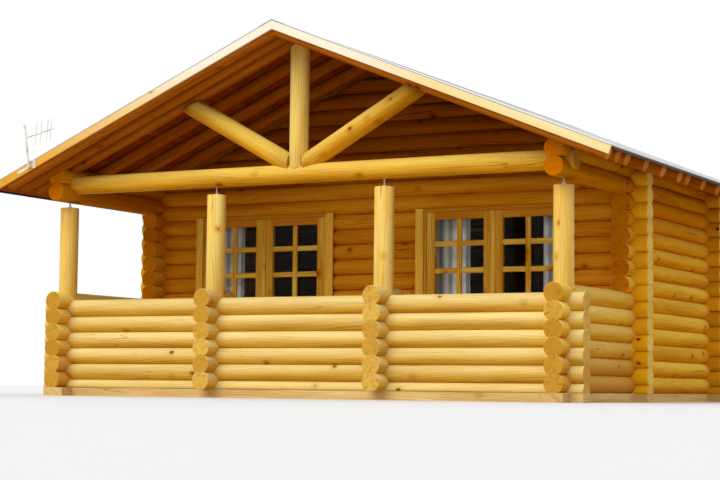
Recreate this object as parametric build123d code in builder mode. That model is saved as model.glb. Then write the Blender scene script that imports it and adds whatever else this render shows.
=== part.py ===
"""Round-log cabin with a covered veranda at its gable end.

Millimetres. +X is to the right seen from the veranda, +Y runs from the veranda to the back,
+Z is up. The origin is on the ground, at the middle of the roof's plan.
"""

from build123d import *
from math import cos, radians, sin, tan
import os

# Logs
log_d = 200.0  # diameter of every wall log
course = 170.0  # height that one course adds to a wall
seam = 0.3  # gap left between two pieces that seat on each other
log_r = log_d / 2
end_beyond_x = 230.0  # how far a front or back log runs past the side wall's centre line
end_beyond_y = 260.0  # how far a side log runs past the wall that it crosses

# Plan: bays of the veranda, and depths between the wall centre lines
bays = (1920.0, 1990.0, 1920.0)
porch_depth = 1784.0
front_room_depth = 2455.0
room_panels = 3  # roof panels over the rooms, each as long as the veranda is deep
front_overhang = 586.0
back_overhang = 600.0

# Ground sills and floors
sill_h = 90.0
sill_outer = 95.0
sill_inner = 150.0
floor_t = 28.0
joist_w = 60.0
joist_step = 620.0
joist_count = 9

# Course counts: side logs sit half a course above front logs of the same number
rail_courses = 6
side_courses = 12
plate_courses = 2
head_course = side_courses + 1

# Roof
left_pitch = 23.1
right_pitch = 22.1
ridge_z = 3704.0 + sill_h
eaves_run = 3610.0
covering_t = 6.0
board_t = 20.0
rafter_d = 140.0
rafter_h = 118.0  # height of a rafter from its round underside to the flat on its top
rafter_pair = 250.0  # step between the two rafters where roof panels meet
panel_bays = 3
end_rafter_back = 96.0  # from the roof's edge to the centre of the first rafter
tail_back = 60.0  # the rafters stop this far short of the roof's edge
barge_h = 80.0
barge_t = 25.0
barge_back = 2.0  # the bargeboards stop this far short of the covering's edge
strip_w = 60.0
strip_t = 10.0
ridge_cap_w = 150.0
ridge_cap_t = 6.0
blocking_t = 22.0

# Veranda frame
post_d = 200.0
corner_post_top = 1965.0 + sill_h
middle_post_top = 2030.0 + sill_h
post_foot_drop = 60.0  # how far a post's foot reaches down over the round log below
screw_d = 18.0
screw_plate = 90.0
screw_plate_t = 6.0
king_post_d = 200.0
brace_d = 200.0
brace_pitch = 29.0
tie_beyond = 130.0  # how far the tie beam runs past the corner posts
brace_height = 50.0  # height of the braces' crossing point above the tie beam's axis

# Windows
window_xs = (-1440.0, 1420.0)
window_w = 1660.0
window_bottom = 926.0 + sill_h
window_top = 1981.0 + sill_h
frame_t = 42.0
frame_depth = 140.0
trim_w = 95.0
trim_t = 20.0
trim_lap = 10.0
sash_t = 56.0
sash_setback = 12.0
outer_stile = 94.0
meeting_stile = 111.0
sash_top_rail = 82.0
sash_bottom_rail = 68.0
bar_w = 58.0
pane_columns = 2
pane_rows = 3
glass_t = 4.0
glass_lap = 12.0
bar_depth = 30.0
bead_w = 45.0
bead_t = 12.0

# Curtains
curtain_ws = ((500.0, 300.0), (500.0, 300.0))
curtain_t = 40.0
curtain_drop = 1180.0
curtain_back = 135.0  # from the wall's centre line to the rod
rod_course = 12
rod_d = 20.0
rod_beyond = 120.0  # how far a rod runs past each side of its window
bracket_w = 20.0

# Back door and inner doorway
door_x = 0.0
door_w = 930.0
door_top = 1990.0 + sill_h
door_t = 44.0
door_clear = 3.0
threshold_t = 30.0
handle_z = 1050.0 + sill_h
handle_l = 130.0
handle_d = 18.0
handle_stand = 45.0
plate_w = 40.0
plate_h = 220.0
plate_t = 4.0
inner_door_x = 0.0
lining_t = 30.0
lining_depth = 200.0

# Aerial on the left bargeboard, in one upright plane in front of it
mast_x = -3008.0
mast_d = 25.0
mast_l = 465.0
mast_lean = 8.6  # degrees to the left
mast_foot_drop = 68.0  # from the roof's top down to the mast's foot
mast_clear = 18.0
boom_d = 14.0
boom_l = 380.0
boom_rise = 12.5
boom_height = 326.0  # along the mast
element_d = 7.0
element_l = 240.0
element_lean = -4.0
element_places = (0.36, 0.55, 0.78, 0.91)  # as shares of the boom
bar_l = 250.0
bar_h = 26.0
bar_t = 6.0
bar_shift = -57.0
clamp_w = 40.0
clamp_h = 42.0
strap_x = 50.0  # from the mast's foot to the strap at its right
strap_w = 35.0
strap_h = 90.0

# Derived places
half_w = sum(bays) / 2
post_xs = [-half_w + sum(bays[:n]) for n in range(len(bays) + 1)]
rooms_depth = room_panels * porch_depth - rafter_pair
roof_l = front_overhang + porch_depth + rooms_depth + back_overhang
mast_reach = mast_clear + mast_d
roof_front = -(roof_l - mast_reach) / 2
roof_back = roof_front + roof_l
y_rail = roof_front + front_overhang
y_front = y_rail + porch_depth
y_cross = y_front + front_room_depth
y_back = y_front + rooms_depth
wall_ys = (y_front, y_cross, y_back)
flat_h = course - seam
rafter_top = covering_t + board_t
rafter_bottom = rafter_top + rafter_h


def front_z(n):
    """Centre height of front or back log n."""
    return sill_h + n * course


def side_z(n):
    """Centre height of side log n."""
    return sill_h + (n + 0.5) * course


def pitch(side):
    """Pitch of the left (-1) or right (1) slope."""
    return radians(left_pitch if side < 0 else right_pitch)


def roof_z(x, depth=0.0):
    """Height at x of the roof's top, or of the plane at a depth measured square to the slope."""
    return ridge_z - abs(x) * tan(pitch(x)) - depth / cos(pitch(x))


# Log profiles: a round log with a flat above and below, the half log that starts a wall, the
# top log with its round crown, the one with a round belly over the veranda and the full round.
# The cups are what a crossing log is notched to: over a flat log, over a round crown, and
# reaching down past the middle of a flat log.
with BuildSketch() as log_face:
    Circle(log_r)
    Rectangle(log_d, flat_h, mode=Mode.INTERSECT)

with BuildSketch() as half_log_face:
    Circle(log_r)
    Rectangle(log_d, flat_h / 2, align=(Align.CENTER, Align.MIN), mode=Mode.INTERSECT)

with BuildSketch() as crown_log_face:
    Circle(log_r)
    with Locations((0, -flat_h / 2)):
        Rectangle(log_d, flat_h / 2 + log_r, align=(Align.CENTER, Align.MIN), mode=Mode.INTERSECT)

with BuildSketch() as belly_log_face:
    Circle(log_r)
    with Locations((0, flat_h / 2)):
        Rectangle(log_d, flat_h / 2 + log_r, align=(Align.CENTER, Align.MAX), mode=Mode.INTERSECT)

with BuildSketch() as round_log_face:
    Circle(log_r)

with BuildSketch() as cup_face:
    Circle(log_r + seam)
    Rectangle(
        log_d + 2 * seam,
        flat_h / 2 + seam,
        align=(Align.CENTER, Align.MIN),
        mode=Mode.INTERSECT,
    )

with BuildSketch() as crown_cup_face:
    Circle(log_r + seam)
    Rectangle(log_d + 2 * seam, log_d, align=(Align.CENTER, Align.MIN), mode=Mode.INTERSECT)

with BuildSketch() as deep_cup_face:
    Circle(log_r + seam)
    with Locations((0, flat_h / 2 + seam)):
        Rectangle(2 * log_d, 2 * log_d, align=(Align.CENTER, Align.MAX), mode=Mode.INTERSECT)


def across_x(x):
    """Plane for sections of the logs that run along X; its axes are Y and Z."""
    return Plane.YZ.offset(x)


def across_y(y):
    """Plane for sections of the logs that run along Y; its axes are X and Z."""
    return Plane.XZ.offset(-y)


def front_logs(y, courses, x_low, x_high, face=log_face):
    """Logs along X, one for each course number."""
    with BuildSketch(across_x(x_low)) as section:
        with Locations(*[(y, front_z(n)) for n in courses]):
            add(face.sketch)
    extrude(section.sketch, amount=x_high - x_low)


def side_logs(x, courses, y_low, y_high, face=log_face):
    """Logs along Y, one for each course number."""
    with BuildSketch(across_y(y_low)) as section:
        with Locations(*[(x, side_z(n)) for n in courses]):
            add(face.sketch)
    extrude(section.sketch, amount=-(y_high - y_low))


def notch_for_side_logs(y, courses, cup=cup_face):
    """Cups in the logs along X, where side logs of these numbers pass under them."""
    with BuildSketch(across_y(y - log_r - 1)) as cups:
        with Locations(*[(x, side_z(n)) for x in (-half_w, half_w) for n in courses]):
            add(cup.sketch)
    extrude(cups.sketch, amount=-(log_d + 2), mode=Mode.SUBTRACT)


def notch_for_front_logs(x, ys, courses, cup=cup_face):
    """Cups in the logs along Y, where front logs of these numbers pass under them."""
    with BuildSketch(across_x(x - log_r - 1)) as cups:
        with Locations(*[(y, front_z(n)) for y in ys for n in courses]):
            add(cup.sketch)
    extrude(cups.sketch, amount=log_d + 2, mode=Mode.SUBTRACT)


def block(x_low, x_high, y_low, y_high, z_low, z_high, mode=Mode.ADD):
    """Box between two corners."""
    with Locations(((x_low + x_high) / 2, (y_low + y_high) / 2, (z_low + z_high) / 2)):
        Box(x_high - x_low, y_high - y_low, z_high - z_low, mode=mode)


def under_roof(y_low, y_high, depth):
    """Keeps what lies at least this deep under both slopes of the roof."""
    reach = eaves_run + log_d
    with BuildSketch(across_y(y_low)) as section:
        Polygon(
            (-reach, 0),
            (reach, 0),
            (reach, roof_z(reach, depth)),
            (0, min(roof_z(-seam, depth), roof_z(seam, depth))),
            (-reach, roof_z(-reach, depth)),
            align=None,
        )
    extrude(section.sketch, amount=-(y_high - y_low), mode=Mode.INTERSECT)


# Ground sills: long ones under the side walls, short ones under every cross wall
with BuildPart() as sills:
    for side in (-1, 1):
        ends = sorted((side * (half_w + sill_outer), side * (half_w - sill_inner)))
        block(*ends, y_rail - end_beyond_y, y_back + end_beyond_y, 0, sill_h)
    inside = half_w - sill_inner - seam
    block(-inside, inside, y_rail - sill_outer, y_rail + sill_inner, 0, sill_h)
    for y in (y_front, y_cross):
        block(-inside, inside, y - sill_inner, y + sill_inner, 0, sill_h)
    block(-inside, inside, y_back - sill_inner, y_back + sill_outer, 0, sill_h)
    outside = half_w + sill_outer + seam
    for y_low, y_high in (
        (y_rail - sill_outer, y_rail + sill_outer),
        (y_front - sill_outer, y_front + sill_outer),
        (y_cross - sill_outer, y_cross + sill_outer),
        (y_back - sill_outer, y_back + sill_outer),
    ):
        for side in (-1, 1):
            ends = sorted((side * outside, side * (half_w + end_beyond_x)))
            block(*ends, y_low, y_high, 0, sill_h)

# Floors rest on the sills' inner edges, between the walls
floor_x = half_w - log_r - seam
floor_low = sill_h + seam
floor_high = floor_low + floor_t
with BuildPart() as porch_deck:
    block(-floor_x, floor_x, y_rail + log_r + seam, y_front - log_r - seam, floor_low, floor_high)
    for x in post_xs[1:-1]:
        block(
            x - log_r - seam,
            x + log_r + seam,
            y_rail,
            y_rail + end_beyond_y + seam,
            floor_low,
            floor_high,
            mode=Mode.SUBTRACT,
        )
with BuildPart() as room_floors:
    block(-floor_x, floor_x, y_front + log_r + seam, y_cross - log_r - seam, floor_low, floor_high)
    block(-floor_x, floor_x, y_cross + log_r + seam, y_back - log_r - seam, floor_low, floor_high)

# Joists between the cross sills, as deep as the sills
with BuildPart() as floor_joists:
    for y_low, y_high in zip((y_rail, y_front, y_cross), wall_ys):
        joist_l = y_high - y_low - 2 * sill_inner - 2 * seam
        with Locations(((0, (y_low + y_high) / 2, sill_h / 2))):
            with GridLocations(joist_step, 1, joist_count, 1):
                Box(joist_w, joist_l, sill_h)

# Veranda rail: a half log and full logs along the front, with a crown log on top
x_end = half_w + end_beyond_x
stub_xs = post_xs[1:-1]
with BuildPart() as front_rail:
    front_logs(y_rail, [0], -x_end, x_end, half_log_face)
    front_logs(y_rail, range(1, rail_courses - 1), -x_end, x_end)
    front_logs(y_rail, [rail_courses - 1], -x_end, x_end, crown_log_face)
    with BuildSketch(across_y(y_rail - log_r - 1)):
        with Locations(*[(x, side_z(n)) for x in post_xs for n in range(rail_courses - 1)]):
            add(cup_face.sketch)
    extrude(amount=-(log_d + 2), mode=Mode.SUBTRACT)

# Short logs that cross the rail and carry the two middle posts
with BuildPart() as rail_stubs:
    for x in stub_xs:
        side_logs(x, range(rail_courses - 1), y_rail - end_beyond_y, y_rail + end_beyond_y)
        side_logs(x, [rail_courses - 1], y_rail - end_beyond_y, y_rail + end_beyond_y, crown_log_face)
        notch_for_front_logs(x, [y_rail], range(rail_courses - 1))
        notch_for_front_logs(x, [y_rail], [rail_courses - 1], crown_cup_face)


# Rails between the veranda's corners and the front wall. Their top logs are flat where a log
# of the side wall runs out over them.
with BuildPart() as side_rails:
    for x in (-half_w, half_w):
        side_logs(x, range(rail_courses - 1), y_rail - end_beyond_y, y_front - seam)
        side_logs(x, [rail_courses - 1], y_rail - end_beyond_y, y_front - seam, crown_log_face)
        notch_for_front_logs(x, [y_rail, y_front], range(rail_courses - 1))
        notch_for_front_logs(x, [y_front], [rail_courses - 1])
        notch_for_front_logs(x, [y_rail], [rail_courses - 1], crown_cup_face)
        block(
            x - log_r,
            x + log_r,
            y_front - end_beyond_y - seam,
            y_front,
            side_z(rail_courses - 1) + flat_h / 2,
            side_z(rail_courses),
            mode=Mode.SUBTRACT,
        )


def side_wall(x):
    """Side wall. Above the rail its logs run out past the front wall."""
    with BuildPart() as wall:
        side_logs(x, range(rail_courses), y_front, y_back + end_beyond_y)
        side_logs(x, range(rail_courses, side_courses), y_front - end_beyond_y, y_back + end_beyond_y)
        notch_for_front_logs(x, wall_ys, range(side_courses))
    return wall


left_wall = side_wall(-half_w)
right_wall = side_wall(half_w)

# The two top logs of each side wall, which run on over the veranda
with BuildPart() as eaves_plates:
    for x in (-half_w, half_w):
        ends = (y_rail - end_beyond_y, y_back + end_beyond_y)
        side_logs(x, [side_courses], *ends, belly_log_face)
        side_logs(x, [side_courses + plate_courses - 1], *ends, crown_log_face)
        notch_for_front_logs(x, wall_ys, [side_courses, head_course])
        block(
            x - log_r,
            x + log_r,
            y_front - end_beyond_y - seam,
            y_back + end_beyond_y,
            side_z(side_courses) - log_r,
            side_z(side_courses) - flat_h / 2,
            mode=Mode.SUBTRACT,
        )
    with BuildSketch(across_x(-half_w - log_r)):
        with Locations((y_rail, front_z(head_course))):
            add(crown_cup_face.sketch)
    extrude(amount=2 * (half_w + log_r), mode=Mode.SUBTRACT)


def cross_logs(y):
    """Full-width logs along X up to the head of the side walls, notched over the side logs."""
    front_logs(y, [0], -x_end, x_end, half_log_face)
    front_logs(y, range(1, head_course + 1), -x_end, x_end)
    notch_for_side_logs(y, range(head_course))


# Front wall, cut for the two windows
with BuildPart() as front_wall:
    cross_logs(y_front)
    for x in window_xs:
        block(
            x - window_w / 2 - seam,
            x + window_w / 2 + seam,
            y_front - log_d,
            y_front + log_d,
            window_bottom - seam,
            window_top + seam,
            mode=Mode.SUBTRACT,
        )
    under_roof(y_front - log_d, y_front + log_d, rafter_bottom + seam)

# Wall between the rooms, with an open doorway
with BuildPart() as cross_wall:
    cross_logs(y_cross)
    block(
        inner_door_x - door_w / 2 - seam,
        inner_door_x + door_w / 2 + seam,
        y_cross - log_d,
        y_cross + log_d,
        sill_h,
        door_top + seam,
        mode=Mode.SUBTRACT,
    )

# Back wall, cut for the door and, like the front wall, to the rafter above its log ends
with BuildPart() as back_wall:
    cross_logs(y_back)
    block(
        door_x - door_w / 2 - seam,
        door_x + door_w / 2 + seam,
        y_back - log_d,
        y_back + log_d,
        sill_h,
        door_top + seam,
        mode=Mode.SUBTRACT,
    )
    under_roof(y_back - log_d, y_back + log_d, rafter_bottom + seam)

gable_top = int((roof_z(0, rafter_bottom) - sill_h) / course + 0.5)


def gable(y):
    """Gable logs, cut to the slopes of the roof."""
    with BuildPart() as logs:
        front_logs(y, range(head_course + 1, gable_top + 1), -x_end, x_end)
        notch_for_side_logs(y, [head_course], crown_cup_face)
        under_roof(y - log_d, y + log_d, rafter_bottom + seam)
    return logs


front_gable = gable(y_front)
back_gable = gable(y_back)

# Tie beam across the veranda, its ends trimmed to the rafters
with BuildPart() as tie_beam:
    tie_end = half_w + tie_beyond
    front_logs(y_rail, [head_course], -tie_end, tie_end, round_log_face)
    with BuildSketch(across_y(y_rail - log_r - 1)):
        with Locations(*[(x, side_z(side_courses)) for x in (-half_w, half_w)]):
            add(deep_cup_face.sketch)
    extrude(amount=-(log_d + 2), mode=Mode.SUBTRACT)
    under_roof(y_rail - log_d, y_rail + log_d, rafter_bottom + seam)


# Round posts, their feet scribed over the crowns of the logs that they stand on
post_tops = (corner_post_top, middle_post_top, middle_post_top, corner_post_top)
crown_z = side_z(rail_courses - 1) + log_r
with BuildPart() as porch_posts:
    for x, top in zip(post_xs, post_tops):
        with BuildSketch(Plane.XY.offset(crown_z - post_foot_drop)):
            with Locations((x, y_rail)):
                Circle(post_d / 2)
        extrude(amount=top - crown_z + post_foot_drop)
    with BuildSketch(across_y(y_rail - post_d)):
        with Locations(*[(x, side_z(rail_courses - 1)) for x in post_xs]):
            Circle(log_r + seam)
    extrude(amount=-2 * post_d, mode=Mode.SUBTRACT)

# Settling screws between the posts and the beams above them
plate_under = side_z(side_courses) - log_r
tie_under = front_z(head_course) - log_r
with BuildPart() as screws:
    for x, top, under in zip(post_xs, post_tops, (plate_under, tie_under, tie_under, plate_under)):
        with Locations((x, y_rail, top + seam)):
            Box(
                screw_plate,
                screw_plate,
                screw_plate_t,
                align=(Align.CENTER, Align.CENTER, Align.MIN),
            )
            Cylinder(
                screw_d / 2,
                under - seam - top - seam,
                align=(Align.CENTER, Align.CENTER, Align.MIN),
            )

# King post, scribed over the tie beam and cut to the rafters
with BuildPart() as king_post:
    with BuildSketch(Plane.XY.offset(front_z(head_course) + log_r - post_foot_drop)):
        with Locations((0, y_rail)):
            Circle(king_post_d / 2)
    extrude(amount=ridge_z - front_z(head_course))
    with BuildSketch(across_x(-king_post_d)):
        with Locations((y_rail, front_z(head_course))):
            Circle(log_r + seam)
    extrude(amount=2 * king_post_d, mode=Mode.SUBTRACT)
    under_roof(y_rail - king_post_d, y_rail + king_post_d, rafter_bottom + seam)


# Round braces from the foot of the king post up to the rafters
with BuildPart() as braces:
    foot = Vector(0, y_rail, front_z(head_course) + brace_height)
    for side in (-1, 1):
        along = Vector(side * cos(radians(brace_pitch)), 0, sin(radians(brace_pitch)))
        with BuildSketch(Plane(origin=foot, x_dir=(0, 1, 0), z_dir=along)):
            Circle(brace_d / 2)
        extrude(amount=half_w)
    with BuildSketch(Plane.XY.offset(front_z(head_course))):
        with Locations((0, y_rail)):
            Circle(king_post_d / 2 + seam)
            Rectangle(2 * seam, 2 * log_d)
    extrude(amount=ridge_z, mode=Mode.SUBTRACT)
    with BuildSketch(across_x(-half_w)):
        with Locations((y_rail, front_z(head_course))):
            Circle(log_r + seam)
    extrude(amount=2 * half_w, mode=Mode.SUBTRACT)
    under_roof(y_rail - log_d, y_rail + log_d, rafter_bottom + seam)

# Rafters: the roof comes in panels, and where two meet there is a rafter on each side of the
# joint. One of each pair bears on the tie beam, the front wall or the back wall.
joint_ys = [y_front - rafter_pair / 2 + n * porch_depth for n in range(-1, room_panels + 1)]
bay = (porch_depth - rafter_pair) / panel_bays
rafter_ys = [roof_front + end_rafter_back]
rafter_ys += [joint_ys[0] - rafter_pair / 2]
for joint in joint_ys[:-1]:
    rafter_ys += [joint + rafter_pair / 2 + n * bay for n in range(panel_bays + 1)]
rafter_ys += [joint_ys[-1] + rafter_pair / 2, roof_back - end_rafter_back]


def slope_plane(side, depth):
    """Plane square to a slope's rafters at the ridge: x along Y, y up out of the slope."""
    down = Vector(side * cos(pitch(side)), 0, -sin(pitch(side)))
    apex = ridge_z - depth / cos(pitch(side))
    return Plane(origin=(0, 0, apex), x_dir=(0, side, 0), z_dir=down)


def rafters(side):
    """Round poles with a flat on top, cut plumb at the ridge and notched over the plate."""
    length = (eaves_run - tail_back) / cos(pitch(side))
    with BuildPart() as poles:
        with BuildSketch(slope_plane(side, rafter_top).offset(-rafter_d)):
            with Locations(*[(side * y, rafter_d / 2 - rafter_h) for y in rafter_ys]):
                Circle(rafter_d / 2)
            with Locations((0, -seam)):
                Rectangle(2 * roof_l, rafter_d, align=(Align.CENTER, Align.MAX), mode=Mode.INTERSECT)
        extrude(amount=rafter_d + length)
        block(
            *sorted((side * seam / 2, -side * eaves_run)),
            roof_front,
            roof_back,
            0,
            ridge_z + 2 * rafter_d,
            mode=Mode.SUBTRACT,
        )
        with BuildSketch(across_y(roof_front)):
            with Locations((side * half_w, side_z(side_courses + plate_courses - 1))):
                Circle(log_r + seam)
        extrude(amount=-roof_l, mode=Mode.SUBTRACT)
    return poles


left_rafters = rafters(-1)
right_rafters = rafters(1)


def roof_layer(side, depths, runs, y_low, y_high):
    """A layer of one slope, between two depths and between two distances from the ridge."""
    top, bottom = depths
    inner, outer = (side * run for run in runs)
    with BuildSketch(across_y(y_low)) as section:
        Polygon(
            (inner, roof_z(inner, top)),
            (outer, roof_z(outer, top)),
            (outer, roof_z(outer, bottom)),
            (inner, roof_z(inner, bottom)),
            align=None,
        )
    extrude(section.sketch, amount=-(y_high - y_low))


def roof_boards(side):
    """Boards on the rafters, between the bargeboards."""
    runs = (seam / 2, eaves_run - barge_t)
    ends = (roof_front + barge_t + seam, roof_back - barge_t - seam)
    with BuildPart() as boards:
        roof_layer(side, (covering_t + seam, rafter_top), runs, *ends)
    return boards


def roof_covering(side):
    """Covering from the ridge to the eaves, over the whole length of the roof."""
    with BuildPart() as covering:
        roof_layer(side, (0, covering_t), (seam / 2, eaves_run), roof_front, roof_back)
    return covering


left_boards = roof_boards(-1)
right_boards = roof_boards(1)
left_covering = roof_covering(-1)
right_covering = roof_covering(1)

# Bargeboards under the edge of the covering, cut square at the foot and plumb at the ridge
with BuildPart() as bargeboards:
    barge_top = covering_t + seam
    for y in (roof_front, roof_back - barge_t):
        for side in (-1, 1):
            ridge = side * seam / 2
            foot = side * (eaves_run - barge_back)
            heel = foot - side * barge_h * sin(pitch(side))
            with BuildSketch(across_y(y)):
                Polygon(
                    (ridge, roof_z(ridge, barge_top)),
                    (foot, roof_z(foot, barge_top)),
                    (heel, roof_z(heel, barge_top + barge_h)),
                    (ridge, roof_z(ridge, barge_top + barge_h)),
                    align=None,
                )
            extrude(amount=-barge_t)

# Edge strips on the covering, along the verges and the eaves
with BuildPart() as edge_strips:
    strip_depths = (-seam - strip_t, -seam)
    for side in (-1, 1):
        for y in (roof_front, roof_back - strip_w):
            roof_layer(side, strip_depths, (ridge_cap_w, eaves_run), y, y + strip_w)
        roof_layer(
            side,
            strip_depths,
            (eaves_run - strip_w, eaves_run),
            roof_front + strip_w + seam,
            roof_back - strip_w - seam,
        )

# Ridge cap, a folded strip over the covering
with BuildPart() as ridge_cap:
    with BuildSketch(across_y(roof_front)):
        reach = ridge_cap_w - seam
        cap_top = -seam - ridge_cap_t
        Polygon(
            (-reach, roof_z(-reach, -seam)),
            (0, roof_z(0, -seam)),
            (reach, roof_z(reach, -seam)),
            (reach, roof_z(reach, cap_top)),
            (0, roof_z(0, cap_top)),
            (-reach, roof_z(-reach, cap_top)),
            align=None,
        )
    extrude(amount=-roof_l)


# Boards on the top plates that close the gaps between the rooms' rafters
plate_top = side_z(side_courses + plate_courses - 1) + log_r
room_rafter_ys = [y for y in rafter_ys if y_front <= y <= y_back]
with BuildPart() as eaves_blocking:
    for low, high in zip(room_rafter_ys, room_rafter_ys[1:]):
        for x in (-half_w, half_w):
            with BuildSketch(across_y(low + rafter_d / 2 + seam)):
                Polygon(
                    (x - blocking_t / 2, plate_top + seam),
                    (x + blocking_t / 2, plate_top + seam),
                    (x + blocking_t / 2, roof_z(x + blocking_t / 2, rafter_top + seam)),
                    (x - blocking_t / 2, roof_z(x - blocking_t / 2, rafter_top + seam)),
                    align=None,
                )
            extrude(amount=-(high - low - rafter_d - 2 * seam))

# Windows
frame_front = y_front - log_r
frame_back = frame_front + frame_depth
light_w = window_w - 2 * frame_t
light_low = window_bottom + frame_t
light_high = window_top - frame_t
sash_w = light_w / 2 - 1.5 * seam
sash_h = light_high - light_low - 2 * seam
sash_front = frame_front + sash_setback
panes_w = sash_w - outer_stile - meeting_stile
panes_h = sash_h - sash_top_rail - sash_bottom_rail
pane_w = (panes_w - (pane_columns - 1) * bar_w) / pane_columns
pane_h = (panes_h - (pane_rows - 1) * bar_w) / pane_rows


# Head, sill and two jambs of each window, as four pieces that butt
with BuildPart() as window_frames:
    for x in window_xs:
        low, high = x - window_w / 2, x + window_w / 2
        block(low, high, frame_front, frame_back, window_bottom, light_low)
        block(low, high, frame_front, frame_back, light_high, window_top)
        for x_low, x_high in ((low, low + frame_t), (high - frame_t, high)):
            block(x_low, x_high, frame_front, frame_back, light_low + seam, light_high - seam)

# Cover boards over the joints between frames and logs, at the windows and the back door
with BuildPart() as cover_boards:
    for x in window_xs:
        for side in (-1, 1):
            inner = window_w / 2 - trim_lap
            ends = sorted((x + side * inner, x + side * (inner + trim_w)))
            block(*ends, frame_front - trim_t - seam, frame_front - seam, window_bottom, window_top)
    for side in (-1, 1):
        inner = door_w / 2 - trim_lap
        ends = sorted((door_x + side * inner, door_x + side * (inner + trim_w)))
        block(*ends, y_back + log_r + seam, y_back + log_r + seam + trim_t, sill_h, door_top)

# Two sashes in each window, with glazing bars, and a bead over their joint
sash_xs = [x + side * (sash_w + seam) / 2 for x in window_xs for side in (-1, 1)]
middle_z = (light_low + light_high) / 2
pane_z = light_low + seam + sash_bottom_rail + panes_h / 2
pane_shift = (meeting_stile - outer_stile) / 2
pane_xs = [x + side * ((sash_w + seam) / 2 + pane_shift) for x in window_xs for side in (-1, 1)]
with BuildPart() as window_sashes:
    with BuildSketch(across_y(sash_front)):
        with Locations(*[(x, middle_z) for x in sash_xs]):
            Rectangle(sash_w, sash_h)
        with Locations(*[(x, pane_z) for x in pane_xs]):
            with GridLocations(pane_w + bar_w, pane_h + bar_w, pane_columns, pane_rows):
                Rectangle(pane_w, pane_h, mode=Mode.SUBTRACT)
    extrude(amount=-sash_t)
    with BuildSketch(across_y(sash_front + bar_depth)):
        with Locations(*[(x, pane_z) for x in pane_xs]):
            Rectangle(panes_w + 2 * glass_lap, panes_h + 2 * glass_lap)
    extrude(amount=-sash_t, mode=Mode.SUBTRACT)
    for x in window_xs:
        block(
            x - bead_w / 2,
            x + bead_w / 2,
            sash_front - seam - bead_t,
            sash_front - seam,
            light_low + seam,
            light_high - seam,
        )

# One sheet of glass in the rebate of each sash
with BuildPart() as window_glass:
    with BuildSketch(across_y(sash_front + bar_depth + seam)):
        with Locations(*[(x, pane_z) for x in pane_xs]):
            Rectangle(panes_w + 2 * glass_lap - 2 * seam, panes_h + 2 * glass_lap - 2 * seam)
    extrude(amount=-glass_t)

# Curtain rods above the windows inside, on brackets that reach the wall
rod_y = y_front + curtain_back
rod_z = front_z(rod_course)
rod_w = window_w + 2 * rod_beyond
with BuildPart() as curtain_rods:
    for x in window_xs:
        with BuildSketch(across_x(x - rod_w / 2)):
            with Locations((rod_y, rod_z)):
                Circle(rod_d / 2)
        extrude(amount=rod_w)
        for end in (-1, 1):
            bracket_x = x + end * (rod_w / 2 - bracket_w)
            block(
                bracket_x - bracket_w / 2,
                bracket_x + bracket_w / 2,
                y_front + log_r + seam,
                rod_y,
                rod_z - rod_d / 2,
                rod_z + rod_d / 2,
            )


def curtain(x, side, width):
    """Gathered curtain at one side of a window, hung under the rod."""
    top = rod_z - rod_d / 2 - seam
    edge = x + side * (window_w / 2 - frame_t)
    with BuildPart() as cloth:
        ends = sorted((edge, edge - side * width))
        block(*ends, rod_y - curtain_t / 2, rod_y + curtain_t / 2, top - curtain_drop, top)
    return cloth


curtains = {
    f"curtain_{2 * n + m + 1}": curtain(x, side, widths[m])
    for n, (x, widths) in enumerate(zip(window_xs, curtain_ws))
    for m, side in enumerate((-1, 1))
}


def door_frame(x, y, depth, thickness):
    """Two jambs and a head in a doorway, standing on the sill."""
    low, high = x - door_w / 2, x + door_w / 2
    y_low, y_high = y - depth / 2, y + depth / 2
    block(low, high, y_low, y_high, door_top - thickness, door_top)
    for x_low, x_high in ((low, low + thickness), (high - thickness, high)):
        block(x_low, x_high, y_low, y_high, sill_h + seam, door_top - thickness - seam)


with BuildPart() as inner_door_lining:
    door_frame(inner_door_x, y_cross, lining_depth, lining_t)

# Back door: frame with a threshold, leaf and handle
leaf_low = door_x - door_w / 2 + frame_t + door_clear
leaf_high = door_x + door_w / 2 - frame_t - door_clear
leaf_out = y_back + log_r - sash_setback
with BuildPart() as back_door_frame:
    door_frame(door_x, y_back + log_r - frame_depth / 2, frame_depth, frame_t)
    block(
        door_x - door_w / 2 + frame_t + seam,
        door_x + door_w / 2 - frame_t - seam,
        y_back + log_r - frame_depth,
        y_back + log_r,
        sill_h + seam,
        sill_h + seam + threshold_t,
    )
with BuildPart() as back_door:
    block(
        leaf_low,
        leaf_high,
        leaf_out - door_t,
        leaf_out,
        sill_h + threshold_t + 2 * seam,
        door_top - frame_t - door_clear,
    )
with BuildPart() as door_handle:
    plate_x = leaf_low + 2 * plate_w
    block(
        plate_x - plate_w / 2,
        plate_x + plate_w / 2,
        leaf_out + seam,
        leaf_out + seam + plate_t,
        handle_z - plate_h / 2,
        handle_z + plate_h / 2,
    )
    with BuildSketch(across_y(leaf_out + seam)):
        with Locations((plate_x, handle_z)):
            Circle(handle_d / 2)
    extrude(amount=-handle_stand)
    with BuildSketch(across_x(plate_x - handle_d / 2)):
        with Locations((leaf_out + handle_stand, handle_z)):
            Circle(handle_d / 2)
    extrude(amount=handle_l)

# Aerial: a leaning mast on a bar across the left bargeboard, with a boom of upright elements
aerial_y = roof_front - mast_clear - mast_d / 2
mast_foot = Vector(mast_x, aerial_y, roof_z(mast_x) - mast_foot_drop)
mast_up = Vector(-sin(radians(mast_lean)), 0, cos(radians(mast_lean)))
boom_start = mast_foot + mast_up * boom_height
boom_along = Vector(cos(radians(boom_rise)), 0, sin(radians(boom_rise)))
element_up = Vector(-sin(radians(element_lean)), 0, cos(radians(element_lean)))


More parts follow.
